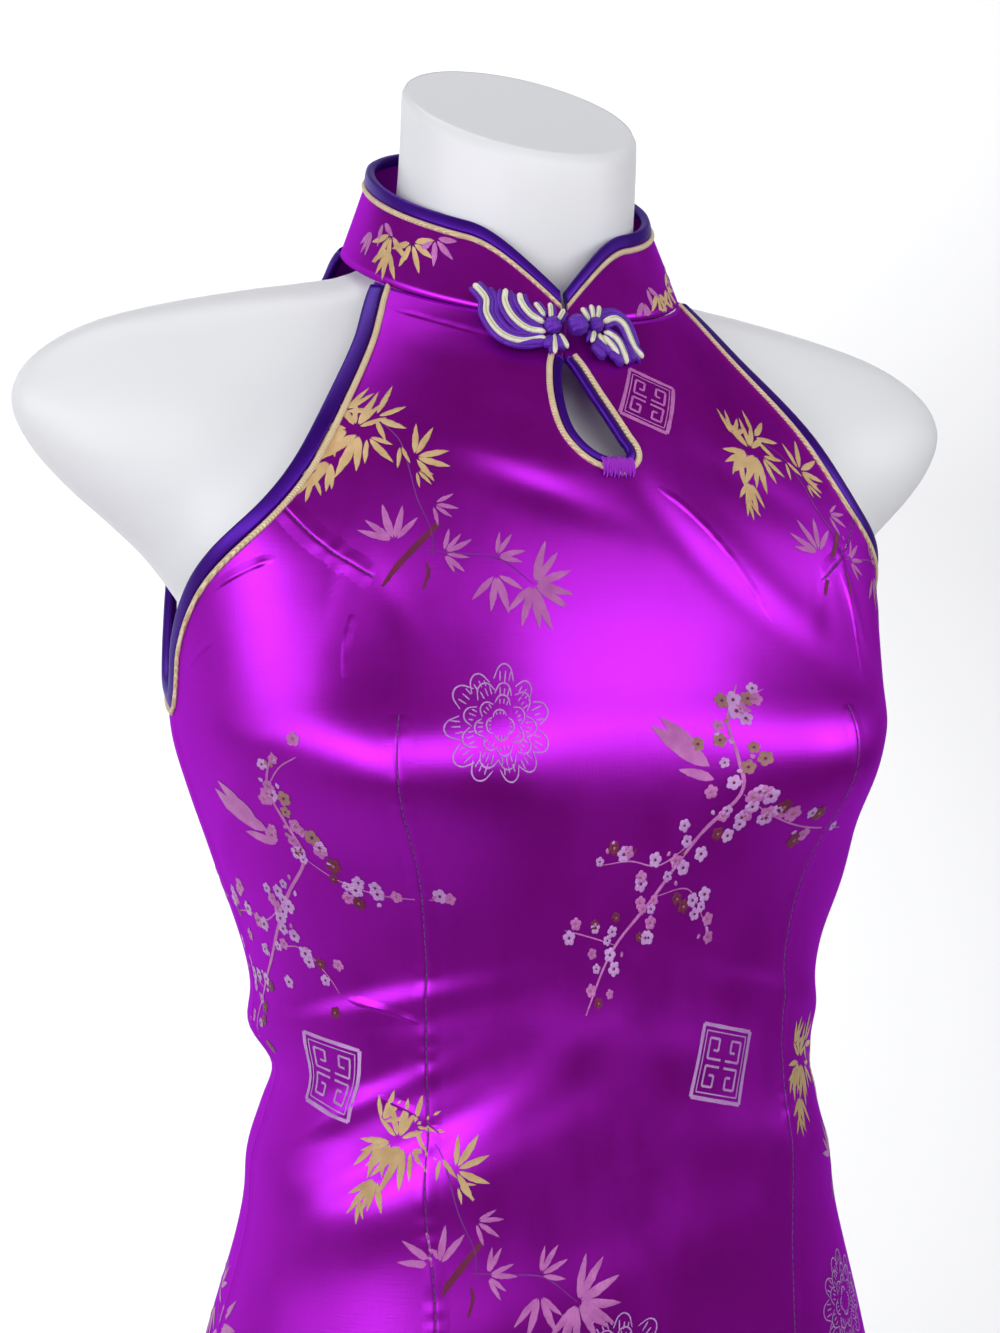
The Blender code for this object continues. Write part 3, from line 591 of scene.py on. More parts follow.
@dataclass(frozen=True)
class ThreadFinish:
    """Matt or silky thread and cord, with fine ribs and a mottled colour.

    Args:
        low, high: the range of its colour.
        roughness: blur of its shine.
        scale: how many ribs a metre.
        sheen: the soft edge glow.
        metallic: how much of the colour the shine takes.
        relief: how deep its ribs are.
    """

    low: tuple[float, float, float]
    high: tuple[float, float, float]
    roughness: float = 0.5
    scale: float = 1400.0
    sheen: float = 0.3
    metallic: float = 0.0
    relief: float = 0.00012

    # Mottled patches a metre
    PATCH = 160.0

    def build(self, name: str) -> bpy.types.Material:
        """The material, on object coordinates."""
        graph = Graph(name)
        place = graph.add("TexCoord").outputs["Object"]
        rib = graph.add("TexWave", {"Vector": place, "Scale": self.scale, "Distortion": 3.0,
                                    "Detail": 2.0}, bands_direction="DIAGONAL").outputs["Fac"]
        patch = graph.noise(place, self.PATCH, 4.0)
        share = graph.add("Math", {0: rib, 1: patch}, operation="MULTIPLY").outputs[0]
        colour = graph.ramp(share, ((0.1, self.low), (0.6, self.high)))
        normal = graph.bump(rib, self.relief, 0.5)
        graph.look(Base_Color=colour, Roughness=self.roughness, Normal=normal,
                   Sheen_Weight=self.sheen, Metallic=self.metallic)
        return graph.material


@dataclass(frozen=True)
class ShellFinish:
    """A moulded or sprayed surface: a fine orange peel and faint rubs.

    Args:
        colour: its main colour.
        worn: the colour of rubbed patches.
        roughness: blur of its shine.
        metallic: 1 for metal.
        grain: size of its relief.
    """

    colour: tuple[float, float, float]
    worn: tuple[float, float, float]
    roughness: float = 0.4
    metallic: float = 0.0
    grain: float = 0.00005

    # Grains and rubbed patches a metre
    PEEL = 420.0
    RUB = 9.0

    def build(self, name: str) -> bpy.types.Material:
        """The material, on object coordinates."""
        graph = Graph(name)
        place = graph.add("TexCoord").outputs["Object"]
        peel = graph.noise(place, self.PEEL, 3.0)
        rub = graph.noise(place, self.RUB, 6.0)
        colour = graph.ramp(rub, ((0.35, self.colour), (0.75, self.worn)))
        rough = graph.add("MapRange", {"Value": rub, "To Min": self.roughness - 0.06,
                                       "To Max": self.roughness + 0.08}).outputs[0]
        graph.look(Base_Color=colour, Roughness=rough, Metallic=self.metallic,
                   Normal=graph.bump(peel, self.grain, 0.35))
        return graph.material


SATIN = SatinFinish((0.20, 0.000, 0.13), (0.29, 0.001, 0.22), (0.60, 0.03, 1.0), 0.36, 0.2, 0.55, 8.0)
BINDING = SatinFinish((0.016, 0.001, 0.070), (0.042, 0.003, 0.19), (0.24, 0.05, 1.0), 0.40, 0.2, 0.2, 2.6)
PIPING = ThreadFinish((0.62, 0.44, 0.24), (0.92, 0.78, 0.52), 0.5, 430.0, 0.2, 0.0, 0.0006)
SHELL = ShellFinish((0.83, 0.835, 0.865), (0.80, 0.805, 0.83), 0.42)
STEEL = ShellFinish((0.62, 0.63, 0.65), (0.50, 0.51, 0.53), 0.30, 1.0, 0.00003)
STRIPED = ThreadFinish((0.78, 0.72, 0.56), (0.94, 0.90, 0.78), 0.5, 900.0)
STRIPE = ThreadFinish((0.42, 0.50, 0.22), (0.62, 0.70, 0.38), 0.5, 900.0)
KNOT_SATIN = ThreadFinish((0.07, 0.003, 0.30), (0.20, 0.018, 0.66), 0.38, 1300.0, 0.06, 0.3)
# Near-black plum for the strip in a dart seam's groove: painted shade
SEAM_SHADE = ThreadFinish((0.05, 0.0, 0.07), (0.09, 0.0, 0.12), 0.6, 1200.0, 0.1)
SEWING = ThreadFinish((0.16, 0.01, 0.24), (0.30, 0.03, 0.44), 0.45, 2000.0, 0.2)
BAR_THREAD = ThreadFinish((0.34, 0.0, 0.56), (0.60, 0.02, 0.92), 0.4, 2600.0, 0.08, 0.2)
PAINT = ShellFinish((0.78, 0.79, 0.82), (0.70, 0.71, 0.74), 0.34)


class Panels:
    """The front and back of the dress, as thin shells with the fine folds."""

    FRONT_HALF = 78
    BACK_COLUMNS = 120
    # Rows of the mesh, as (from, to, steps)
    FRONT_RUNS = ((DressSurface.HEM, 0.93, 60), (0.93, DressSurface.KEYHOLE_LOW, 150),
                  (DressSurface.KEYHOLE_LOW, DressSurface.NECK, 40))
    BACK_RUNS = ((DressSurface.HEM, 0.93, 60), (0.93, DressSurface.NECK, 125))

    def __init__(self, surface: DressSurface, satin: bpy.types.Material) -> None:
        """Args: surface: the dress; satin: its finish."""
        self.surface = surface
        self.satin = satin

    @staticmethod
    def heights(runs: tuple) -> np.ndarray:
        """Heights of the mesh rows."""
        parts = [np.linspace(start, end, steps, endpoint=False) for start, end, steps in runs]
        return np.concatenate((*parts, [runs[-1][1]]))

    @staticmethod
    def cloth_uv(at: np.ndarray, turn: np.ndarray) -> np.ndarray:
        """Cloth coordinates in metres, across and up."""
        across = np.radians(wrapped(turn)) * SECTIONS.read("side", np.full_like(at, 1.15))
        return np.stack(np.broadcast_arrays(across, at), axis=-1)

    def shell(self, name: str, at: np.ndarray, turn: np.ndarray, faces: list[tuple],
              node: str) -> bpy.types.Object:
        """A shell on the surface that stands for a solid."""
        points = self.surface.point(at, turn)
        item = make_piece(name, points, faces, self.satin, self.cloth_uv(at, turn))
        add_wall(item, self.surface.WALL)
        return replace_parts(item, node)

    def front(self) -> bpy.types.Object:
        """The front, in two halves that are one piece below the keyhole."""
        dress = self.surface
        at = self.heights(self.FRONT_RUNS)
        edge = dress.armhole("front", at) - np.where(at <= dress.UNDERARM, dress.side_gap(at), 0.0)
        share = np.linspace(0.0, 1.0, self.FRONT_HALF + 1)
        right = dress.keyhole("right", at)
        left = dress.keyhole("left", at)
        turn_right = -edge[:, None] + (right + edge)[:, None] * share
        turn_left = left[:, None] + (edge - left)[:, None] * share
        wide = 2 * (self.FRONT_HALF + 1)
        turn = np.concatenate((turn_right, turn_left), axis=1)
        heights = np.repeat(at[:, None], wide, axis=1)
        seam = self.FRONT_HALF
        foot = sum(steps for _, _, steps in self.FRONT_RUNS[:-1])

        def index(row: int, column: int) -> int:
            """Below the keyhole the left half's first column is the right half's last."""
            if row <= foot and column == seam + 1:
                column = seam
            return row * wide + column

        faces = []
        for row in range(len(at) - 1):
            for i in range(wide - 1):
                if i == seam:
                    continue
                faces.append((index(row, i), index(row, i + 1), index(row + 1, i + 1), index(row + 1, i)))
        return self.shell("cloth_front", heights, turn, faces, "front_panel")

    def back(self) -> bpy.types.Object:
        """The back, in one piece."""
        dress = self.surface
        at = self.heights(self.BACK_RUNS)
        edge = dress.armhole("back", at) + np.where(at <= dress.UNDERARM, dress.side_gap(at), 0.0)
        share = np.linspace(0.0, 1.0, self.BACK_COLUMNS)
        turn = edge[:, None] + (360.0 - 2 * edge)[:, None] * share
        heights = np.repeat(at[:, None], self.BACK_COLUMNS, axis=1)
        faces = grid_faces(len(at), self.BACK_COLUMNS)
        return self.shell("cloth_back", heights, turn, faces, "back_panel")


class Collar:
    """The stand collar and the strips along its upper edge."""

    RADIUS = 0.0715
    MIDDLE_Y = 0.009
    TILT = 0.45
    GAP = 0.0006
    HEIGHT = 0.037
    FRONT_HEIGHT = 0.010
    CURVE = 0.042
    LEAN = 0.35
    RISE = 0.937
    MEET_X = -0.0043
    MEET_GAP = 0.0012
    WALL = 0.0016
    BINDING = 0.0050
    BINDING_RISE = 0.0015
    BINDING_UNDER = 0.0040
    PIPING = 0.0025
    PIPING_RISE = 0.0012
    SPACE = 0.0004
    STEPS = 220
    ROWS = 12
    # How much closer the points lie at the front corners, and the cloth's slight wave
    CROWDING = 0.09
    WAVE = 0.0004
    # Clear of the seam and of the trimmed edge, where motifs end
    SEAM_MARGIN = 0.0008
    EDGE_MARGIN = 0.002

    def __init__(self) -> None:
        """Works out the angles round the collar."""
        self.meet = math.degrees(math.asin(self.MEET_X / self.RADIUS))
        gap = math.degrees(self.MEET_GAP / self.RADIUS)
        t = np.linspace(0.0, 1.0, self.STEPS + 1)
        ease = self.CROWDING * np.sin(2 * np.pi * t) * np.cos(np.pi * t) ** 2
        self.turns = self.meet + gap + (360.0 - 2 * gap) * (t - ease)

    def height(self, turn: np.ndarray) -> np.ndarray:
        """Height of the collar, low at its front corners."""
        away = np.abs(np.radians(wrapped(turn - self.meet))) * self.RADIUS
        t = np.minimum(away / self.CURVE, 1.0)
        rise = np.sin(t * np.pi / 2) ** 0.9
        return self.FRONT_HEIGHT + (self.HEIGHT - self.FRONT_HEIGHT) * rise

    def point(self, turn: np.ndarray, up: np.ndarray, lift: np.ndarray | float = 0.0) -> np.ndarray:
        """Points on or off the outer face, a distance up from the neck seam."""
        turn, up, lift = np.broadcast_arrays(turn, up, lift)
        out = np.stack((np.sin(np.radians(turn)), -np.cos(np.radians(turn)), 0 * turn), axis=-1)
        foot = out * self.RADIUS
        foot[..., 2] = DressSurface.NECK + self.GAP + self.TILT * (foot[..., 1] + self.RADIUS)
        foot[..., 1] += self.MIDDLE_Y
        along = np.array((0.0, 0.0, self.RISE)) - out * self.LEAN
        face = out * self.RISE + np.array((0.0, 0.0, self.LEAN))
        wave = self.WAVE * np.sin(np.radians(turn * 5.0 + 40.0)) * np.sin(up / self.HEIGHT * np.pi)
        return foot + along * up[..., None] + face * (lift + wave)[..., None]

    def spread(self, turn: float, height: float, across: np.ndarray,
               up: np.ndarray) -> tuple[np.ndarray, np.ndarray]:
        """Heights and turns of places across and up from a place on the collar."""
        return height + up, turn + np.degrees(across / self.RADIUS)

    def lifted(self, at: np.ndarray, turn: np.ndarray, lift: np.ndarray) -> np.ndarray:
        """Points off the outer face."""
        return self.point(turn, at, lift)

    def covered(self, at: np.ndarray, turn: np.ndarray) -> np.ndarray:
        """Where the collar is, clear of its edges."""
        return (at > self.SEAM_MARGIN) & (at < self.height(turn) - self.EDGE_MARGIN)

    def stand(self, satin: bpy.types.Material) -> bpy.types.Object:
        """The collar's own cloth."""
        share = np.linspace(0.0, 1.0, self.ROWS)
        up = self.height(self.turns)[None, :] * share[:, None]
        turn = np.repeat(self.turns[None, :], self.ROWS, axis=0)
        uv = np.stack((np.radians(turn) * self.RADIUS, up), axis=-1)
        faces = grid_faces(self.ROWS, len(self.turns))
        item = make_piece("cloth_collar", self.point(turn, up), faces, satin, uv)
        add_wall(item, self.WALL)
        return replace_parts(item, "collar_stand")

    def edge(self, name: str, profile: tuple, material: bpy.types.Material, slot: Slot,
             node: str) -> bpy.types.Object:
        """A strip along the upper edge.

        Args:
            name: the piece's name.
            profile: its outline, as (distance below the edge, lift off the face).
            material: its finish; slot: not used.
            node: the solid it stands for.
        """
        down = np.array([p[0] for p in profile])
        lift = np.array([p[1] for p in profile])
        turn = self.turns[:, None]
        up = self.height(self.turns)[:, None] - down[None, :]
        points = self.point(turn, up, lift[None, :])
        uv = np.stack(np.broadcast_arrays(down[None, :], np.radians(turn) * self.RADIUS), axis=-1)
        faces = grid_faces(len(self.turns), len(profile), closed=True)
        faces += [face[::-1] for face in end_faces(len(self.turns), len(profile))]
        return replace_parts(make_piece(name, points, faces, material, uv), node)


def rolled_edge(width: float, wall: float, rise: float, under: float) -> tuple:
    """Outline of a binding that wraps a cloth edge, as (distance in from it, lift).

    Args:
        width: how far it covers the face.
        wall: the cloth's thickness.
        rise: how far it stands off the face.
        under: how far it covers the inside.
    """
    crown = [(width * (1 - i / 7.0), rise * math.sin(math.pi * (0.06 + 0.5 * i / 7.0)) ** 0.6)
             for i in range(8)]
    out = rise * 0.55
    return (*crown, (-out * 0.8, rise * 0.45), (-out, -wall * 0.5), (-out * 0.7, -wall - 0.0003),
            (under * 0.3, -wall - 0.0006), (under, -wall - 0.0004), (under, -wall * 0.5))


def laid_cord(near: float, width: float, rise: float) -> tuple:
    """Outline of a flat cord on the face, as (distance in from the edge, lift)."""
    middle = near + width / 2
    arc = [(middle - width / 2 * math.cos(math.pi * i / 8), rise * math.sin(math.pi * i / 8) + 0.0001)
           for i in range(9)]
    return (*arc, (middle, -0.0003))


class EdgeTrim:
    """The binding and piping round an armhole or the keyhole."""

    TOP = 1.3085
    KEY_TOP = 1.2945
    ARM_BINDING = 0.0057
    ARM_RISE = 0.0017
    ARM_UNDER = 0.0040
    ARM_PIPING_RISE = 0.0013
    KEY_BINDING = 0.0026
    KEY_RISE = 0.0013
    KEY_UNDER = 0.0024
    KEY_PIPING_RISE = 0.0012
    PIPING = 0.0025
    SPACE = 0.0004
    STEPS = 110
    # How much closer the steps lie at the foot of the armhole and of the keyhole
    ARM_CROWDING = 1.3
    KEY_CROWDING = 1.6

    def __init__(self, surface: DressSurface) -> None:
        """Args: surface: the dress."""
        self.surface = surface

    def armhole_route(self, hand: Hand) -> tuple[np.ndarray, np.ndarray]:
        """Heights and turns from the collar down the front, under the arm and up the back."""
        low = self.surface.UNDERARM
        t = np.linspace(0.0, 1.0, self.STEPS + 1)
        down = low + (self.TOP - low) * (1 - t) ** self.ARM_CROWDING
        up = low + (self.TOP - low) * t[1:] ** self.ARM_CROWDING
        turn = np.concatenate((self.surface.armhole("front", down), self.surface.armhole("back", up)))
        return np.concatenate((down, up)), turn * hand.value

    def keyhole_route(self) -> tuple[np.ndarray, np.ndarray]:
        """Heights and turns down the wearer's right, round the foot and up the left."""
        low = self.surface.KEYHOLE_LOW
        t = np.linspace(0.0, 1.0, self.STEPS // 2 + 1)
        down = low + (self.KEY_TOP - low) * (1 - t[:-1]) ** self.KEY_CROWDING
        up = low + (self.KEY_TOP - low) * t ** self.KEY_CROWDING
        turn = np.concatenate((self.surface.keyhole("right", down), self.surface.keyhole("left", up)))
        return np.concatenate((down, up)), turn

    def strip(self, name: str, route: tuple[np.ndarray, np.ndarray], profile: tuple, towards: int,
              material: bpy.types.Material, node: str) -> bpy.types.Object:
        """A strip that follows a route on the cloth.

        Args:
            name: the piece's name.
            route: heights and turns of the cloth's edge.
            profile: the strip's outline, as (distance in from the edge, lift).
            towards: 1 or -1, the side of the route that the cloth is on.
            material: its finish.
            node: the solid it stands for.
        """
        at, turn = route
        edge = self.surface.point(at, turn)
        inward = np.cross(directions(edge), self.surface.normal(at, turn)) * towards
        rows = []
        for distance, lift in profile:
            near_at, near_turn = self.surface.place(edge + inward * distance)
            rows.append(self.surface.lifted(near_at, near_turn, np.full(len(at), lift)))
        points = np.stack(rows, axis=1)
        across = np.array([p[0] for p in profile])
        uv = np.stack(np.broadcast_arrays(across[None, :], run_along(edge)[:, None]), axis=-1)
        faces = grid_faces(len(at), len(profile), closed=True)
        faces += [face[::-1] for face in end_faces(len(at), len(profile))]
        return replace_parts(make_piece(name, points, faces, material, uv), node)


class Frog:
    """The flower frog: striped cord loops in two wings, with three wound knots.

    Places are in millimetres across and up from its middle knot.
    """

    MIDDLE = (-0.0035, 1.3065)
    LOW_Y = -0.0764
    LOW_Z = 1.288
    LEAN = 0.37
    BEND = 0.070
    STRIPED = 1.25
    SATIN_CORD = 1.05
    LOOP_SPACE = 2.0
    STRIPE = 0.32
    SIDES = 10
    # Rings and points of a wound knot, its slanted ribs, and how flat it is
    BALL_GRID = (22, 40)
    BALL_FLAT = 0.85
    # Heights of the loops' cords, the satin beside them and the stubs, off the frog's plane
    LOOP_RISE = 1.8
    SATIN_RISE = 1.1
    STUB_RISE = 1.6
    LOW_RISE = 0.9
    # Long loops of each wing, from the free end to the knot
    LOOPS = {
        Hand.RIGHT: (
            ((-35.5, 17.5), (-33.6, 14.5), (-32.0, 10.5), (-32.6, 5.0), (-30.3, -1.4), (-26.5, -5.2),
             (-20.9, -6.6), (-12.6, -4.9)),
            ((-24.6, 15.2), (-25.6, 9.4), (-23.6, 3.0), (-19.0, -1.6), (-12.4, -2.6)),
            ((-20.0, 13.2), (-19.8, 9.0), (-17.3, 4.2), (-12.4, 0.8)),
        ),
        Hand.LEFT: (
            ((28.4, -10.4), (24.6, -7.4), (22.8, -3.0), (21.0, 2.2), (17.1, 4.6), (11.6, 2.6)),
            ((19.4, -14.0), (18.3, -9.6), (16.2, -4.4), (11.4, -1.2)),
            ((15.6, -11.6), (13.6, -7.6), (10.0, -3.2)),
        ),
    }
    # Short stubs, from the free end to the knot
    STUBS = {
        Hand.RIGHT: (
            ((-15.0, 9.4), (-12.0, 3.6)), ((-9.2, 9.4), (-9.6, 3.0)), ((-4.0, 6.8), (-7.0, 2.2)),
            ((-10.4, -11.6), (-9.4, -3.6)), ((-5.0, -9.2), (-7.4, -3.4)),
        ),
        Hand.LEFT: (
            ((3.4, 8.0), (5.6, 2.6)), ((7.6, 9.6), (7.4, 3.4)), ((11.2, 9.4), (9.2, 3.6)),
            ((5.2, -6.2), (7.0, -1.6)), ((10.8, -9.2), (8.8, -2.4)),
        ),
    }
    # Folded satin under each wing, as wide soft loops
    RUFFLES = {
        Hand.RIGHT: (((-13.5, -8.6), (-10.8, -4.6)), ((-8.0, -9.6), (-8.6, -4.0)),
                     ((-24.0, -8.0), (-13.0, -6.2))),
        Hand.LEFT: (((12.4, -10.6), (7.0, -5.0)), ((9.6, -12.6), (5.6, -6.8)), ((23.4, -12.4), (21.0, -5.0)),
                    ((17.6, -14.6), (13.0, -9.0))),
    }
    KNOTS = {Hand.RIGHT: (-9.6, -0.35, 3.5), None: (0.0, 0.0, 4.2), Hand.LEFT: (8.1, 1.0, 3.1)}

    def place(self, across: np.ndarray, up: np.ndarray, lift: np.ndarray) -> np.ndarray:
        """Points on the gently bent plane that the frog lies in, from millimetres."""
        across, up, lift = np.broadcast_arrays(*(np.asarray(v, float) / 1000 for v in (across, up, lift)))
        z = self.MIDDLE[1] + up
        y = self.LOW_Y + self.LEAN * (z - self.LOW_Z) + across ** 2 / (2 * self.BEND)
        out = np.stack((across / self.BEND, np.full_like(across, -1.0), np.full_like(across, self.LEAN)),
                       axis=-1)
        out /= np.linalg.norm(out, axis=-1, keepdims=True)
        return np.stack((self.MIDDLE[0] + across, y, z), axis=-1) + out * lift[..., None]

    def cord(self, path: np.ndarray, radius: float, rise: float) -> tuple[np.ndarray, list[tuple]]:
        """A closed cord along a path in the frog's plane, with rounded ends."""
        count = len(path)
        t = np.linspace(0.0, 1.0, count)
        line = self.place(path[:, 0], path[:, 1], rise + 0.9 * np.sin(np.pi * t) ** 0.7)
        size = radius / 1000 * np.clip(np.minimum(t, 1 - t) * count / 1.6, 0.05, 1.0) ** 0.5
        rings = tube_points(line, size, self.SIDES)
        faces = grid_faces(count, self.SIDES, closed=True) + end_faces(count, self.SIDES)
        return rings.reshape(-1, 3), faces

    def offset(self, path: np.ndarray, space: float) -> np.ndarray:
        """The path moved to one side in its plane."""
        ahead = directions(path)
        return path + np.stack((-ahead[:, 1], ahead[:, 0]), axis=1) * space

    def ball(self, across: float, up: float, radius: float) -> tuple[np.ndarray, list[tuple]]:
        """A wound knot: a ball with slanted ribs."""
        rows, columns = self.BALL_GRID
        lat = np.linspace(0.03, 0.97, rows)[:, None] * np.pi
        lon = np.arange(columns)[None, :] * 2 * np.pi / columns
        rib = 0.88 + 0.17 * np.sqrt(np.abs(np.sin(1.5 * lon + 5.0 * lat)))
        size = radius / 1000 * rib
        ball = np.stack((np.sin(lat) * np.cos(lon) * size, np.sin(lat) * np.sin(lon) * size * self.BALL_FLAT,
                         np.cos(lat) * size), axis=-1)
        points = ball.reshape(-1, 3) + self.place(across, up, radius * 0.75)
        return points, grid_faces(rows, columns, closed=True) + end_faces(rows, columns)

    def gather(self, name: str, parts: list, material: bpy.types.Material) -> bpy.types.Object:
        """One piece from several closed meshes."""
        points, faces = [], []
        for part_points, part_faces in parts:
            start = sum(len(p) for p in points)
            points.append(part_points)
            faces += [tuple(i + start for i in face) for face in part_faces]
        return make_piece(name, np.concatenate(points), faces, material)

    def wing(self, hand: Hand, satin: bpy.types.Material, striped: bpy.types.Material,
             stripe: bpy.types.Material) -> None:
        """One wing: its striped cords, and the satin cords and folds between them."""
        pale, dark, green = [], [], []
        for loop in self.LOOPS[hand]:
            path = smooth_path(list(loop), 7)
            pale.append(self.cord(path, self.STRIPED, self.LOOP_RISE))
            green.append(self.cord(path[3:-2], self.STRIPE, self.LOOP_RISE + self.STRIPED * 0.92))
            for side in (-1, 1):
                beside = self.offset(path, side * self.LOOP_SPACE)
                dark.append(self.cord(beside, self.SATIN_CORD, self.SATIN_RISE))
        low = smooth_path(list(self.LOOPS[hand][0]), 7)[7:]
        outer = self.offset(low, hand.value * self.LOOP_SPACE * -1.75)
        dark.append(self.cord(outer, self.SATIN_CORD * 1.3, 0.7))
        for stub in self.STUBS[hand]:
            path = smooth_path(list(stub), 10)
            pale.append(self.cord(path, self.STRIPED * 0.8, self.STUB_RISE))
            green.append(self.cord(path[1:], self.STRIPE, self.STUB_RISE + self.STRIPED * 0.74))
            dark.append(self.cord(self.offset(path, 1.6), self.SATIN_CORD * 0.8, self.LOW_RISE))
        for ruffle in self.RUFFLES[hand]:
            dark.append(self.cord(smooth_path(list(ruffle), 10), self.SATIN_CORD * 1.7, self.LOW_RISE))
        dark.append(self.ball(*self.KNOTS[hand]))
        side = hand.name.lower()
        cords = self.gather(f"frog_satin_{side}", dark, satin)
        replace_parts(cords, f"frog_wing_{side}")
        self.gather(f"frog_cords_{side}", pale, striped)
        self.gather(f"frog_stripes_{side}", green, stripe)

    def knot(self, satin: bpy.types.Material) -> None:
        """The middle knot."""
        ball = self.gather("frog_ball", [self.ball(*self.KNOTS[None])], satin)
        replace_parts(ball, "frog_knot")


class Tone(Enum):
    """Thread colours of the woven motifs: darkest and lightest."""

    GOLD = ((0.52, 0.30, 0.12), (0.86, 0.66, 0.36))
    ROSE = ((0.42, 0.08, 0.38), (0.74, 0.26, 0.66))
    LILAC = ((0.46, 0.18, 0.58), (0.80, 0.50, 0.86))
    WINE = ((0.12, 0.00, 0.05), (0.24, 0.01, 0.07))
    OLIVE = ((0.28, 0.12, 0.14), (0.46, 0.22, 0.20))
    VIOLET = ((0.16, 0.01, 0.24), (0.26, 0.03, 0.36))


@dataclass(frozen=True)
class Fan:
    """A fan of bamboo leaves from one node of a spray, in millimetres.

    Args:
        across, up: the node's place from the spray's middle.
        heading: the fan's direction, in degrees from the wearer's left.
        spread: degrees between its outer leaves.
        leaves: how many.
        length: of its longest leaf.
        tone: its thread.
    """

    across: float
    up: float
    heading: float
    spread: float
    leaves: int
    length: float
    tone: Tone


# One spray of bamboo, gold at the top and rose below
BAMBOO = (
    Fan(-21.0, 23.0, 55.0, 80.0, 4, 13.0, Tone.GOLD),
    Fan(-22.0, 16.0, -100.0, 60.0, 3, 14.0, Tone.GOLD),
    Fan(-12.0, 15.0, -118.0, 60.0, 4, 19.0, Tone.GOLD),
    Fan(-8.0, 22.0, 10.0, 130.0, 4, 14.0, Tone.GOLD),
    Fan(-9.0, 14.0, -45.0, 70.0, 3, 13.0, Tone.GOLD),
    Fan(-20.0, 3.0, -112.0, 70.0, 5, 14.0, Tone.GOLD),
    Fan(-16.0, 16.0, -150.0, 60.0, 4, 15.0, Tone.GOLD),
    Fan(-14.0, 17.0, 78.0, 110.0, 5, 14.0, Tone.GOLD),
    Fan(-25.0, -4.0, -95.0, 50.0, 3, 9.0, Tone.GOLD),
    Fan(4.0, 12.0, -75.0, 40.0, 2, 11.0, Tone.GOLD),
    Fan(10.0, 7.0, 20.0, 150.0, 5, 15.0, Tone.GOLD),
    Fan(11.0, 2.0, -45.0, 70.0, 3, 8.0, Tone.GOLD),
    Fan(5.0, -28.0, 110.0, 120.0, 5, 16.0, Tone.ROSE),
    Fan(18.0, -12.0, -20.0, 100.0, 4, 10.0, Tone.ROSE),
    Fan(23.0, -32.0, 10.0, 150.0, 6, 11.0, Tone.ROSE),
    Fan(44.0, -33.0, 35.0, 100.0, 4, 13.0, Tone.ROSE),
    Fan(44.0, -40.0, -85.0, 100.0, 4, 16.0, Tone.ROSE),
    Fan(60.0, -44.0, 20.0, 110.0, 5, 21.0, Tone.ROSE),
    Fan(60.0, -44.0, -85.0, 90.0, 5, 20.0, Tone.ROSE),
)
BAMBOO_STEMS = (
    (((2.0, -46.0), (8.0, -36.0), (18.0, -23.0), (21.0, -20.0)), 2.4, Tone.WINE),
    (((-8.0, 22.0), (3.0, 14.0), (8.0, 3.0), (12.0, -10.0), (18.0, -23.0), (19.0, -33.0)), 0.45, Tone.VIOLET),
    (((16.0, -31.0), (30.0, -32.0), (46.0, -34.0), (60.0, -44.0)), 0.5, Tone.VIOLET),
    (((17.0, -36.0), (18.0, -40.0), (16.5, -47.0)), 1.4, Tone.WINE),
)
# One branch of plum blossom: its twigs, and blossoms scattered along them
PLUM_TWIGS = (
    ((6.0, 44.0), (0.0, 30.0), (3.0, 16.0), (5.0, 2.0), (-9.0, -13.0), (-30.0, -37.0), (-50.0, -56.0),
     (-64.0, -80.0)),
    ((6.0, 2.0), (18.0, -6.0), (35.0, -12.0), (60.0, -14.0)),
    ((-9.0, -14.0), (-27.0, -24.0), (-42.0, -22.0), (-57.0, -23.0)),
    ((-28.0, -36.0), (-12.0, -34.0), (-3.0, -44.0), (2.0, -52.0)),
    ((-48.0, -54.0), (-62.0, -50.0), (-74.0, -47.0)),
    ((0.0, 30.0), (8.0, 38.0), (16.0, 42.0)),
)
PLUM_LEAVES = ((-8.0, 13.0, 148.0, 30.0), (-12.0, 18.0, 140.0, 22.0), (-6.0, 8.0, 165.0, 16.0))


# The part of a spray that the collar shows, and where it lies: turn and metres up
COLLAR_FANS = (
    Fan(-8.0, 8.0, -60.0, 60.0, 2, 12.0, Tone.ROSE),
    Fan(0.0, 4.0, -95.0, 110.0, 4, 16.0, Tone.GOLD),
    Fan(1.0, -2.0, -100.0, 70.0, 4, 15.0, Tone.GOLD),
    Fan(13.0, 4.0, -60.0, 170.0, 5, 14.0, Tone.GOLD),
    Fan(24.0, 9.0, -60.0, 130.0, 4, 12.0, Tone.ROSE),
    Fan(-14.0, 2.0, -110.0, 50.0, 3, 13.0, Tone.ROSE),
)
COLLAR_BAMBOO = ((-68.0, 0.017), (42.0, 0.006), (118.0, 0.016), (-162.0, 0.014))


@dataclass(frozen=True)
class Layout:
    """Where each motif lies on a panel, as turn and height, and more for the frames.

    Args:
        bamboo, plum, roundels: turn and height of each.
        lattice: turn, height and tilt of each, and its thread and size where they differ.
    """

    bamboo: tuple
    plum: tuple
    roundels: tuple
    lattice: tuple


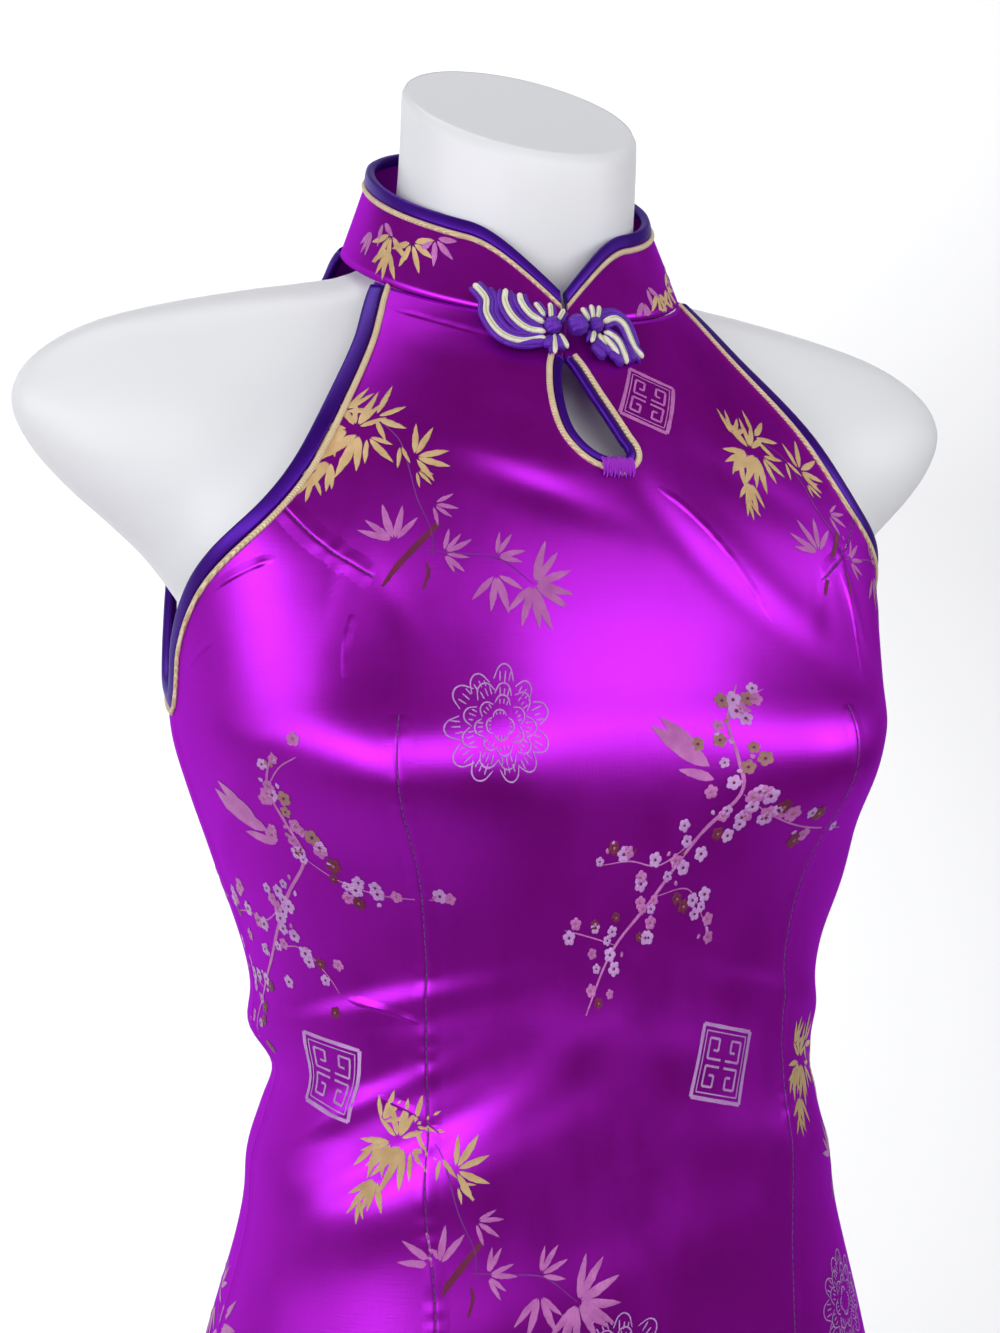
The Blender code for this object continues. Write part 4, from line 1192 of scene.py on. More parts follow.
FRONT = Layout(
    bamboo=((-45.0, 1.245), (44.0, 1.243), (-44.0, 0.986), (62.0, 1.000), (-46.0, 0.740), (40.0, 0.745),
            (4.0, 0.560)),
    plum=((18.0, 1.125), (-62.0, 1.105), (12.0, 0.860), (-66.0, 0.860), (-30.0, 0.600), (60.0, 0.600)),
    roundels=((-25.5, 1.155), (59.0, 0.915), (-4.0, 0.915), (-12.0, 0.700), (66.0, 0.690)),
    lattice=((24.5, 1.023, -15.0), (-66.0, 1.024, -13.0), (-18.0, 0.800, -15.0), (34.0, 0.660, -14.0),
             (-58.0, 0.560, -16.0), (15.5, 1.278, -28.0, Tone.ROSE, 20.0)),
)
BACK = Layout(
    bamboo=((150.0, 1.220), (-140.0, 1.235), (175.0, 1.020), (-120.0, 0.960), (140.0, 0.780),
            (-160.0, 0.720), (120.0, 1.050)),
    plum=((180.0, 1.130), (-110.0, 1.100), (120.0, 0.900), (-170.0, 0.860), (150.0, 0.600),
          (-120.0, 0.640)),
    roundels=((-165.0, 1.265), (150.0, 1.000), (-140.0, 0.820), (170.0, 0.720)),
    lattice=((140.0, 1.125, -15.0), (-150.0, 1.020, -13.0), (165.0, 0.900, -15.0), (-115.0, 0.800, -14.0)),
)


class Brocade:
    """The woven motifs on the dress, one piece for each thread."""

    LIFT = 0.00014
    CROWN = 0.00016
    LEAF_STATIONS = 11
    # Widths as shares of a leaf's length, and the least width of a collar leaf, in millimetres
    LEAF_WIDTH = 0.2
    PLUM_LEAF_WIDTH = 0.24
    COLLAR_LEAF = 2.9
    LEAF_START = 1.5
    PETALS = 5
    PETAL_POINTS = 7
    # Along a twig: a blossom each so many millimetres, and how far off it they lie
    BLOSSOM_SPACE = 3.1
    BLOSSOM_SCATTER = 4.6
    # A roundel's rings, as (radius, petals), and a lattice frame's own size
    RINGS = ((5.0, 4), (9.5, 7), (14.0, 9), (18.8, 11))
    FRAME = 24.0
    FRET = ((0.1, 0.1), (0.66, 0.1), (0.66, 0.66), (0.26, 0.66), (0.26, 0.34), (0.46, 0.34))

    def __init__(self, name: str, surface: DressSurface | Collar, seed: int) -> None:
        """Args:
            name: ends each piece's name.
            surface: the cloth, which spreads and lifts places.
            seed: for the small differences between leaves.
        """
        self.name = name
        self.surface = surface
        self.random = np.random.default_rng(seed)
        self.places = {tone: [] for tone in Tone}
        self.faces = {tone: [] for tone in Tone}
        self.count = {tone: 0 for tone in Tone}

    def add(self, tone: Tone, anchor: tuple[float, float], across: np.ndarray, up: np.ndarray,
            lift: np.ndarray, faces: list[tuple]) -> None:
        """Lay a flat shape, in millimetres from the anchor, onto the cloth."""
        start = self.count[tone]
        across, up, lift = (np.asarray(v, float).ravel() for v in np.broadcast_arrays(across, up, lift))
        at, turn = self.surface.spread(*anchor, across / 1000, up / 1000)
        self.places[tone].append(np.stack((at, turn, lift)))
        self.faces[tone] += [tuple(i + start for i in face) for face in faces]
        self.count[tone] += len(lift)

    def leaf(self, tone: Tone, anchor: tuple[float, float], across: float, up: float, heading: float,
             length: float, width: float) -> None:
        """One lance-shaped leaf with a raised middle and a slight curve."""
        t = np.linspace(0.0, 1.0, self.LEAF_STATIONS)[:, None]
        side = np.array((-1.0, 0.0, 1.0))[None, :]
        half = width / 2 * np.sin(np.pi * t ** 0.8) ** 0.8
        jag = 1.0 + 0.12 * self.random.uniform(-1, 1, (self.LEAF_STATIONS, 3))
        run = t * length + 0 * side
        over = side * half * jag + 0.10 * length * t * (1 - t) * self.random.uniform(-1, 1)
        cos, sin = math.cos(math.radians(heading)), math.sin(math.radians(heading))
        lift = self.LIFT + self.CROWN * (1 - np.abs(side)) * np.sin(np.pi * t)
        self.add(tone, anchor, across + run * cos - over * sin, up + run * sin + over * cos, lift,
                 grid_faces(self.LEAF_STATIONS, 3))

    def line(self, tone: Tone, anchor: tuple[float, float], path: tuple, width: float,
             ends: float = 0.3) -> None:
        """A tapered line through points."""
        line = smooth_path([(x, y, 0.0) for x, y in path], 6)[:, :2]
        ahead = np.gradient(line, axis=0)
        ahead /= np.linalg.norm(ahead, axis=1, keepdims=True) + 1e-9
        aside = np.stack((-ahead[:, 1], ahead[:, 0]), axis=1)
        t = np.linspace(0.0, 1.0, len(line))
        half = width / 2 * (ends + (1 - ends) * np.sin(np.pi * t) ** 0.5)
        half *= 1.0 + 0.15 * self.random.uniform(-1, 1, len(line))
        rows = np.stack((line - aside * half[:, None], line + aside * half[:, None]), axis=1)
        self.add(tone, anchor, rows[..., 0], rows[..., 1], self.LIFT, grid_faces(len(line), 2))

    def blossom(self, anchor: tuple[float, float], across: float, up: float, size: float,
                tone: Tone) -> None:
        """Five round petals about a darker middle."""
        apart = 360 / self.PETALS
        start = self.random.uniform(0, apart)
        for petal in range(self.PETALS):
            turn = math.radians(start + apart * petal)
            centre = (across + 0.56 * size * math.cos(turn), up + 0.56 * size * math.sin(turn))
            t = np.arange(self.PETAL_POINTS) * 2 * np.pi / self.PETAL_POINTS
            radius = 0.46 * size * (1 + 0.1 * self.random.uniform(-1, 1, self.PETAL_POINTS))
            x = np.append(centre[0] + radius * np.cos(t), centre[0])
            y = np.append(centre[1] + radius * np.sin(t), centre[1])
            count = self.PETAL_POINTS
            lift = np.append(np.full(count, self.LIFT), self.LIFT + self.CROWN)
            self.add(tone, anchor, x, y, lift, [(i, (i + 1) % count, count) for i in range(count)])
        heart = Tone.WINE if tone in (Tone.LILAC, Tone.OLIVE) else Tone.OLIVE
        t = np.arange(self.PETALS) * 2 * np.pi / self.PETALS
        self.add(heart, anchor, across + 0.22 * size * np.cos(t), up + 0.22 * size * np.sin(t),
                 self.LIFT + self.CROWN * 1.5, [tuple(range(self.PETALS))])

    def leaves(self, anchor: tuple[float, float], fans: tuple[Fan, ...], least: float = 0.0) -> None:
        """The leaves of some fans about a place, none narrower than the least width."""
        for fan in fans:
            for i in range(fan.leaves):
                share = i / max(fan.leaves - 1, 1) - 0.5
                heading = fan.heading + fan.spread * share + self.random.uniform(-7, 7)
                length = fan.length * (1.0 - 0.35 * abs(share)) * self.random.uniform(0.82, 1.05)
                across = fan.across + self.LEAF_START * math.cos(math.radians(heading))
                up = fan.up + self.LEAF_START * math.sin(math.radians(heading))
                self.leaf(fan.tone, anchor, across, up, heading, length, max(length * self.LEAF_WIDTH, least))

    def bamboo(self, turn: float, height: float) -> None:
        """A spray of bamboo about a place on the cloth."""
        self.leaves((turn, height), BAMBOO)
        for path, width, tone in BAMBOO_STEMS:
            self.line(tone, (turn, height), path, width)

    def plum(self, turn: float, height: float) -> None:
        """A branch of plum blossom about a place on the cloth."""
        anchor = (turn, height)
        tones = (Tone.LILAC, Tone.LILAC, Tone.ROSE, Tone.WINE, Tone.LILAC, Tone.ROSE)
        for number, twig in enumerate(PLUM_TWIGS):
            self.line(Tone.ROSE, anchor, twig, 1.5 if number == 0 else 0.6)
            line = smooth_path([(x, y, 0.0) for x, y in twig], 4)
            for step in range(int(run_along(line)[-1] / self.BLOSSOM_SPACE)):
                x, y, _ = line[int(self.random.uniform(0.08, 1.0) * (len(line) - 1))]
                x += self.random.normal(0.0, self.BLOSSOM_SCATTER)
                y += self.random.normal(0.0, self.BLOSSOM_SCATTER)
                tone = Tone.OLIVE if y > 8.0 and step % 3 == 0 else tones[step % len(tones)]
                if self.random.uniform() < 0.25:
                    self.leaf(tone, anchor, x, y, self.random.uniform(0, 360), 2.4, 1.6)
                else:
                    self.blossom(anchor, x, y, self.random.uniform(2.0, 3.4), tone)
        for x, y, heading, length in PLUM_LEAVES:
            self.leaf(Tone.ROSE, anchor, x, y, heading, length, length * self.PLUM_LEAF_WIDTH)

    def roundel(self, turn: float, height: float) -> None:
        """A round medallion of scalloped petals, each with a few short strokes."""
        anchor = (turn, height)

        def spot(radius: float, bearing: float) -> tuple[float, float]:
            """A place on it."""
            return radius * math.cos(bearing), 1.08 * radius * math.sin(bearing)

        for number, (radius, petals) in enumerate(self.RINGS):
            half = math.pi / petals
            for petal in range(petals):
                middle = 2 * half * (petal + 0.5 * (number % 2)) + self.random.uniform(-0.1, 0.1)
                reach = radius * self.random.uniform(0.94, 1.05)
                scallop = tuple(spot(reach * (1.08 - 0.26 * t * t), middle + 0.92 * half * t)
                                for t in (-1.0, -0.5, 0.0, 0.5, 1.0))
                self.line(Tone.LILAC, anchor, scallop, 0.6, 0.5)
                for t in (-0.5, -0.1, 0.35):
                    low, high = self.random.uniform(0.72, 0.80), self.random.uniform(0.88, 0.98)
                    bearing = middle + half * t
                    self.line(Tone.LILAC, anchor, (spot(reach * low, bearing), spot(reach * high, bearing)),
                              0.5, 0.6)

    def lattice(self, turn: float, height: float, tilt: float, tone: Tone = Tone.LILAC,
                size: float = FRAME) -> None:
        """A tilted square frame round a plain key fret."""
        anchor = (turn, height)
        cos, sin = math.cos(math.radians(tilt)), math.sin(math.radians(tilt))

        def turned(path: list[tuple[float, float]]) -> tuple:
            """The path turned by the tilt and scaled to the square."""
            wide, high = size / 2, size * 0.58
            return tuple((x * wide * cos - y * high * sin, x * wide * sin + y * high * cos)
                         for x, y in path)

        for share, width in ((1.0, 1.5), (0.84, 0.5)):
            corners = [(-share, -share), (share, -share), (share, share), (-share, share), (-share, -share)]
            for a, b in zip(corners, corners[1:]):
                self.line(tone, anchor, turned([a, b]), width, 1.0)
        for sx, sy in ((-1, -1), (1, -1), (1, 1), (-1, 1)):
            fret = [(x * sx, y * sy) for x, y in self.FRET]
            for a, b in zip(fret, fret[1:]):
                self.line(tone, anchor, turned([a, b]), 0.9, 1.0)

    def panel(self, layout: Layout) -> None:
        """All the motifs of a panel."""
        for place in layout.bamboo:
            self.bamboo(*place)
        for place in layout.plum:
            self.plum(*place)
        for place in layout.roundels:
            self.roundel(*place)
        for place in layout.lattice:
            self.lattice(*place)

    def pieces(self, threads: dict[Tone, bpy.types.Material]) -> list[bpy.types.Object]:
        """One piece for each thread that was used."""
        made = []
        for tone in Tone:
            if self.places[tone]:
                at, turn, lift = np.concatenate(self.places[tone], axis=1)
                kept = self.surface.covered(at, turn)
                faces = [face for face in self.faces[tone] if all(kept[i] for i in face)]
                used = np.unique(np.concatenate([np.array(face) for face in faces]))
                order = np.zeros(len(at), dtype=int)
                order[used] = np.arange(len(used))
                faces = [tuple(int(order[i]) for i in face) for face in faces]
                name = f"woven_{tone.name.lower()}_{self.name}"
                points = self.surface.lifted(at[used], turn[used], lift[used])
                made.append(make_piece(name, points, faces, threads[tone]))
        return made


class Stitching:
    """Sewn lines: the darts, each with a dark strip of painted shade in its seam's groove, their small
    stitches and the keyhole's thread bar.
    """

    # Each line is the heights and turns that it passes, on the wearer's right
    WAIST_DART = ((1.160, 39.5), (1.130, 39.8), (1.100, 40.8), (1.073, 42.8), (1.024, 45.2), (0.975, 44.0),
                  (0.936, 41.4), (0.860, 39.0))
    ARM_DART = ((1.2335, 61.2), (1.219, 53.7), (1.207, 45.1))
    SIDE = ((1.166, 90.0), (1.060, 90.0), (0.950, 90.0), (0.800, 90.0), (0.695, 90.0))
    STITCH = 0.0021
    SKIP = 0.0011
    THREAD = 0.00020
    SEAM_LIFT = 0.00012
    STITCH_POINTS = 5
    # Puckers along a seam: their rate, its slow drift, and the steps over which they fade in
    PUCKER_RATE = 620.0
    PUCKER_DRIFT = 190.0
    FADE_STEPS = 6.0
    # The bar at the keyhole's foot: where it starts and ends across, and its threads
    BAR_ACROSS = (-0.0024, 0.0112)
    BAR_SPACE = 0.00062
    BAR_LOW = 1.2474
    BAR_TOP = 1.2547
    BAR_RISE = 0.0016
    BAR_THREAD = 0.00036
    BAR_POINTS = 9
    BAR_SIDES = 6
    # Cloth drawn up on both sides of a seam, as (offset, lift) in millimetres
    DRAWN = ((-6.0, -0.05), (-4.4, 0.05), (-3.0, 0.14), (-1.8, 0.25), (-1.0, 0.30), (-0.5, 0.24),
             (-0.2, 0.10), (0.0, 0.05), (0.2, 0.10), (0.5, 0.24), (1.0, 0.30), (1.8, 0.25), (3.0, 0.14),
             (4.4, 0.05), (6.0, -0.05))
    # A narrow strip laid in a seam's groove, as (offset, lift) in millimetres; its dark finish is painted
    # shade
    CREVICE_SHADE = ((-0.28, 0.15), (0.0, 0.09), (0.28, 0.15))
    # A pressed line, sharp on one side, and where such lines lie
    PRESSED = ((-3.6, -0.05), (-2.0, 0.07), (-0.8, 0.22), (0.0, 0.34), (0.4, 0.14), (1.2, -0.05))
    PRESSED_FRONT = (
        ((1.2000, -71.0), (1.2070, -65.0), (1.2125, -59.5)),
        ((1.1760, -79.0), (1.1800, -75.0), (1.1850, -70.0)),
        ((1.3035, -57.0), (1.3028, -44.0), (1.3010, -31.0), (1.2975, -20.0)),
        ((1.1950, -48.0), (1.1850, -48.5), (1.1720, -48.0)),
        ((1.2120, 50.0), (1.1920, 50.5), (1.1690, 47.5)),
        ((1.2440, 11.0), (1.2310, 19.0), (1.2120, 26.0), (1.1900, 31.0)),
        ((1.0540, -60.0), (1.0500, -52.0), (1.0440, -44.0)),
        ((1.0180, -56.0), (1.0120, -48.0), (1.0030, -41.0)),
    )
    PRESSED_BACK = (
        ((1.2000, 150.0), (1.2130, 142.0), (1.2240, 134.0)),
        ((1.0450, -170.0), (1.0400, -158.0), (1.0420, -146.0)),
        ((1.0220, 168.0), (1.0180, 156.0), (1.0210, 144.0)),
    )

    def __init__(self, surface: DressSurface) -> None:
        """Args: surface: the dress."""
        self.surface = surface

    def route(self, line: tuple, side: int, steps: int = 40) -> tuple[np.ndarray, np.ndarray]:
        """Heights and turns along a line, mirrored where the side is -1."""
        path = smooth_path([(at, turn * side, 0.0) for at, turn in line], steps)
        return path[:, 0], path[:, 1]

    def beside(self, route: tuple, offset: float) -> tuple[np.ndarray, np.ndarray]:
        """The route moved across the cloth."""
        at, turn = route
        middle = self.surface.point(at, turn)
        aside = np.cross(directions(middle), self.surface.normal(at, turn))
        return self.surface.place(middle + aside * offset)

    def strips(self, name: str, routes: list, profile: tuple, material: bpy.types.Material,
               pucker: float = 0.0) -> bpy.types.Object:
        """Ribbons of cloth along the routes.

        Args:
            name: the piece's name.
            routes: heights and turns of each.
            profile: the ribbon's section in millimetres, as (offset, lift).
            material: its finish.
            pucker: how much its relief varies along it.
        """
        points, flat, faces, count = [], [], [], 0
        for route in routes:
            steps = np.arange(len(route[0]))
            run = run_along(self.surface.point(*route))
            vary = 1.0 + pucker * np.sin(run * self.PUCKER_RATE + 2.0 * np.sin(run * self.PUCKER_DRIFT))
            fade = np.clip(np.minimum(steps, steps[::-1]) / self.FADE_STEPS, 0.0, 1.0)
            for offset, lift in profile:
                at, turn = self.beside(route, offset / 1000)
                points.append(self.surface.lifted(at, turn, (lift * vary * fade - 0.05 * (1 - fade)) / 1000))
                flat.append(Panels.cloth_uv(at, turn))
            faces += grid_faces(len(profile), len(steps), count)
            count += len(profile) * len(steps)
        return make_piece(name, np.concatenate(points), faces, material, np.concatenate(flat))

    def stitches(self, name: str, lines: list, material: bpy.types.Material) -> bpy.types.Object:
        """Short raised threads along the lines."""
        count = self.STITCH_POINTS
        near_at, near_turn = [], []
        for at, turn in lines:
            run = run_along(self.surface.point(at, turn))
            for start in np.arange(self.SKIP, run[-1] - self.STITCH, self.STITCH + self.SKIP):
                reach = np.linspace(start, start + self.STITCH, count)
                near_at.append(np.interp(reach, run, at))
                near_turn.append(np.interp(reach, run, turn))
        lift = self.SEAM_LIFT + self.THREAD * np.sin(np.linspace(0.0, np.pi, count))
        paths = self.surface.lifted(np.array(near_at), np.array(near_turn), np.tile(lift, (len(near_at), 1)))
        points, faces = [], []
        for number, path in enumerate(paths):
            points.append(tube_points(path, self.THREAD, count).reshape(-1, 3))
            faces += grid_faces(count, count, number * count * count, closed=True)
        return make_piece(name, np.concatenate(points), faces, material)

    def bar(self, material: bpy.types.Material) -> bpy.types.Object:
        """Upright threads laid side by side across the keyhole's foot."""
        points, faces = [], []
        count, sides = self.BAR_POINTS, self.BAR_SIDES
        for number, x in enumerate(np.arange(*self.BAR_ACROSS, self.BAR_SPACE)):
            low = self.BAR_LOW + 0.0007 * math.sin(number * 2.4)
            at = np.linspace(low, self.BAR_TOP + 0.0003 * math.sin(number * 1.7), count)
            lift = 0.0003 + self.BAR_RISE * np.sin(np.linspace(0.0, np.pi, count)) ** 0.5
            line = self.surface.lifted(at, self.surface.turn_at_x(at, np.full(count, x)), lift)
            points.append(tube_points(line, self.BAR_THREAD, sides).reshape(-1, 3))
            faces += grid_faces(count, sides, number * count * sides, closed=True)
        return make_piece("keyhole_bar", np.concatenate(points), faces, material)


class TorsoForm:
    """The limbless form under the dress, as one smooth shell."""

    LOW = 0.735
    ROUND = 0.012
    ROUND_RINGS = 6
    # The foot ring's mean reach, by which its rounding is scaled
    REACH = 0.13
    # Heights of the rings under the dress's yoke and above it, as (from, to, count)
    LOW_RINGS = (LOW + ROUND, 1.19, 60)
    HIGH_RINGS = (1.205, 1.4135, 80)
    CAP_SHARES = (0.97, 0.9, 0.5, 0.1)
    CHEST_ROUND = 2.05
    SHOULDER_ROUND = 2.3
    BLEND = 24.0
    TRIM = 0.99
    SIDES = 180
    CROWDING = 0.30
    TABLE = SizeTable(
        ("height", "tilt", "middle", "chest", "front", "back", "shoulder", "arm"),
        (
            (1.205, 0.00, 0.000, 0.1425, 0.0980, 0.0865, 0.1425, 0.060),
            (1.220, 0.00, 0.001, 0.1490, 0.0935, 0.0870, 0.1560, 0.050),
            (1.235, 0.02, 0.002, 0.1510, 0.0880, 0.0860, 0.1730, 0.047),
            (1.250, 0.04, 0.003, 0.1510, 0.0815, 0.0820, 0.1900, 0.046),
            (1.265, 0.07, 0.004, 0.1480, 0.0735, 0.0770, 0.2030, 0.045),
            (1.280, 0.11, 0.005, 0.1430, 0.0645, 0.0710, 0.2095, 0.043),
            (1.293, 0.16, 0.006, 0.1360, 0.0565, 0.0650, 0.2060, 0.040),
            (1.304, 0.22, 0.007, 0.1260, 0.0505, 0.0600, 0.1940, 0.036),
            (1.313, 0.29, 0.008, 0.1140, 0.0460, 0.0550, 0.1750, 0.032),
            (1.320, 0.35, 0.009, 0.1000, 0.0440, 0.0510, 0.1480, 0.029),
            (1.3265, 0.40, 0.009, 0.0840, 0.0435, 0.0490, 0.1130, 0.027),
            (1.332, 0.43, 0.008, 0.0690, 0.0440, 0.0480, 0.0790, 0.027),
            (1.343, 0.45, 0.006, 0.0560, 0.0460, 0.0475, 0.0560, 0.030),
            (1.362, 0.50, 0.002, 0.0500, 0.0475, 0.0475, 0.0500, 0.036),
            (1.388, 0.58, -0.003, 0.0485, 0.0475, 0.0475, 0.0485, 0.038),
            (1.4115, 0.66, -0.006, 0.0480, 0.0475, 0.0475, 0.0480, 0.038),
            (1.4135, 0.66, -0.006, 0.0468, 0.0462, 0.0462, 0.0468, 0.036),
        ),
    )

    def __init__(self, surface: DressSurface) -> None:
        """Args: surface: the dress that it carries."""
        self.surface = surface

    def reach(self, at: float, turn: np.ndarray) -> np.ndarray:
        """Reach of the form's own outline, the wider of chest and shoulders."""
        facing = np.abs(wrapped(turn)) <= 90.0
        sin, cos = np.abs(np.sin(np.radians(turn))), np.abs(np.cos(np.radians(turn)))
        depth = np.where(facing, self.TABLE.read("front", at), self.TABLE.read("back", at))
        power = self.CHEST_ROUND
        chest = ((sin / self.TABLE.read("chest", at)) ** power + (cos / depth) ** power) ** (-1 / power)
        power = self.SHOULDER_ROUND
        arm = ((sin / self.TABLE.read("shoulder", at)) ** power
               + (cos / self.TABLE.read("arm", at)) ** power) ** (-1 / power)
        blend = (chest ** self.BLEND + arm ** self.BLEND) ** (1 / self.BLEND)
        return blend * self.TRIM

    def ring(self, at: float) -> np.ndarray:
        """One ring: under the dress it follows the cloth, above it the form's own table."""
        t = np.arange(self.SIDES) * 2 * np.pi / self.SIDES
        turn = np.degrees(t + self.CROWDING * np.sin(2 * t))
        first = self.TABLE.rows[0][0]
        sin, cos = np.sin(np.radians(turn)), np.cos(np.radians(turn))
        if at >= first:
            reach = self.reach(at, turn)
            y = self.TABLE.read("middle", at) - reach * cos
            return np.stack((reach * sin, y, at + self.TABLE.read("tilt", at) * y), axis=-1)
        level = min(at, DressSurface.UNDERARM)
        reach = self.surface.body_reach(np.full_like(turn, level), turn) - DressSurface.WALL
        reach = reach - SECTIONS.read("ease", level)
        middle = float(SECTIONS.read("middle", level))
        if at > DressSurface.UNDERARM:
            share = (at - DressSurface.UNDERARM) / (first - DressSurface.UNDERARM)
            reach = reach + (self.reach(first, turn) - reach) * share
            middle += (float(self.TABLE.read("middle", first)) - middle) * share
        return np.stack((reach * sin, middle - reach * cos, np.full_like(turn, at)), axis=-1)

    def build(self, material: bpy.types.Material) -> bpy.types.Object:
        """The closed form, with a slanted cap and a rounded foot."""
        heights = np.concatenate((np.linspace(*self.LOW_RINGS), np.linspace(*self.HIGH_RINGS)))
        rings = [self.ring(float(at)) for at in heights]
        foot = rings[0]
        middle = np.array((0.0, float(SECTIONS.read("middle", self.LOW)), self.LOW))
        low = []
        for i in range(1, self.ROUND_RINGS + 1):
            turn = math.pi / 2 * i / self.ROUND_RINGS
            inset = foot + (middle - foot) * (self.ROUND * (1 - math.cos(turn)) / self.REACH)
            inset[:, 2] = self.LOW + self.ROUND * (1 - math.sin(turn))
            low.insert(0, inset)
        top = rings[-1]
        centre = top.mean(axis=0)
        cap = [centre + (top - centre) * share for share in self.CAP_SHARES]
        rings = [middle + (low[0] - middle) * 0.3, *low, *rings, *cap]
        faces = grid_faces(len(rings), self.SIDES, closed=True) + end_faces(len(rings), self.SIDES)
        item = make_piece("form_shell", np.array(rings), faces, material)
        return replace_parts(item, "form_torso")


@dataclass(frozen=True)
class PhotoCamera:
    """A camera at the photograph's place.

    Args:
        azimuth: degrees round from straight in front.
        pitch: degrees that it looks down.
        distance: from the upright through the part's middle, at the target's height.
        target: that height.
        roll: degrees that the frame is turned.
        lens: focal length in millimetres on a 36 mm long side.
        shift: how far the frame is moved, as a share of its long side.
    """

    azimuth: float = -21.39
    pitch: float = 0.16
    distance: float = 0.7941
    target: float = 1.1672
    roll: float = 1.0
    lens: float = 50.77
    shift: tuple[float, float] = (-0.018, 0.0172)

    def build(self) -> bpy.types.Object:
        """The scene's camera."""
        turn, dip, roll = (math.radians(v) for v in (self.azimuth, self.pitch, self.roll))
        ahead = Vector((-math.sin(turn) * math.cos(dip), math.cos(turn) * math.cos(dip), -math.sin(dip)))
        right = Vector((math.cos(turn), math.sin(turn), 0.0))
        up = right.cross(ahead)
        level = right * math.cos(roll) - up * math.sin(roll)
        rise = right * math.sin(roll) + up * math.cos(roll)
        data = bpy.data.cameras.new("photo_camera")
        data.lens = self.lens
        data.sensor_width = 36.0
        data.shift_x, data.shift_y = self.shift
        data.clip_start = 0.02
        camera = bpy.data.objects.new("photo_camera", data)
        bpy.context.scene.collection.objects.link(camera)
        camera.matrix_world = Matrix.Translation(Vector((0.0, 0.0, self.target)) - ahead * self.distance) @ \
            Matrix((level, rise, -ahead)).transposed().to_4x4()
        bpy.context.scene.camera = camera
        return camera


@dataclass(frozen=True)
class Softbox:
    """A rectangular light.

    Args:
        name: its name.
        place: where it hangs.
        aim: the point that it faces.
        size: width and height.
        power: watts.
        spread: degrees that its light fans out.
    """

    name: str
    place: tuple[float, float, float]
    aim: tuple[float, float, float]
    size: tuple[float, float]
    power: float
    spread: float = 180.0

    def build(self) -> bpy.types.Object:
        """The light, facing its aim."""
        data = bpy.data.lights.new(self.name, "AREA")
        data.shape = "RECTANGLE"
        data.size, data.size_y = self.size
        data.energy = self.power
        data.spread = math.radians(self.spread)
        item = bpy.data.objects.new(self.name, data)
        item.location = self.place
        item.rotation_mode = "QUATERNION"
        item.rotation_quaternion = (Vector(self.aim) - Vector(self.place)).to_track_quat("-Z", "Y")
        bpy.context.scene.collection.objects.link(item)
        return item


class Studio:
    """A pale sweep for floor and backdrop, soft lights and the camera."""

    LIGHTS = (
        Softbox("front", (-0.10, -2.60, 1.84), (0.0, 0.0, 1.64), (2.6, 1.25), 10.8, 100.0),
        Softbox("right_front", (-2.0, -1.75, 1.28), (0.0, 0.0, 1.20), (1.2, 1.25), 6.8, 100.0),
        Softbox("wearers_right", (-2.55, -0.45, 1.66), (0.0, 0.0, 1.50), (1.6, 1.3), 7.0, 100.0),
        Softbox("wearers_left", (2.0, -1.6, 1.80), (0.0, 0.0, 1.62), (2.0, 1.2), 9.5, 100.0),
        Softbox("backdrop_light", (0.0, 1.0, 4.2), (0.0, 3.2, 0.9), (8.0, 1.0), 190.0, 120.0),
    )
    FLOOR = (0.62, 0.62, 0.63)
    WORLD = 0.12
    WORLD_COLOUR = (0.93, 0.95, 1.0, 1.0)
    # The sweep: its half width, the bend's start and radius, the front edge and the top
    HALF_WIDTH = 7.0
    BEND = 1.6
    FRONT_EDGE = -6.0
    TOP = 6.0

    def build(self) -> None:
        """The whole studio."""
        scene = bpy.context.scene
        scene.view_settings.view_transform = "Standard"
        bend = self.BEND
        profile = [(y, 0.0) for y in (self.FRONT_EDGE, -2.0, 0.0, bend)]
        profile += [(bend + bend * math.sin(t), bend - bend * math.cos(t))
                    for t in np.linspace(0.1, math.pi / 2, 16)]
        profile += [(2 * bend, self.TOP / 2), (2 * bend, self.TOP)]
        points = np.array([(x, y, z) for y, z in profile for x in (-self.HALF_WIDTH, self.HALF_WIDTH)])
        mesh = bpy.data.meshes.new("studio_sweep")
        mesh.from_pydata([tuple(p) for p in points], [], grid_faces(len(profile), 2))
        mesh.shade_smooth()
        mesh.materials.append(ShellFinish(self.FLOOR, self.FLOOR, 0.8, 0.0, 0.00002).build("sweep"))
        sweep = bpy.data.objects.new("studio_sweep", mesh)
        scene.collection.objects.link(sweep)
        world = bpy.data.worlds.new("studio")
        world.use_nodes = True
        background = world.node_tree.nodes["Background"].inputs
        background["Color"].default_value = self.WORLD_COLOUR
        background["Strength"].default_value = self.WORLD
        scene.world = world
        for light in self.LIGHTS:
            light.build()
        PhotoCamera().build()


def refinish(node: str, material: bpy.types.Material) -> None:
    """Give a kept CAD node its finish."""
    item = bpy.data.objects[node]
    item.data.materials.clear()
    item.data.materials.append(material)


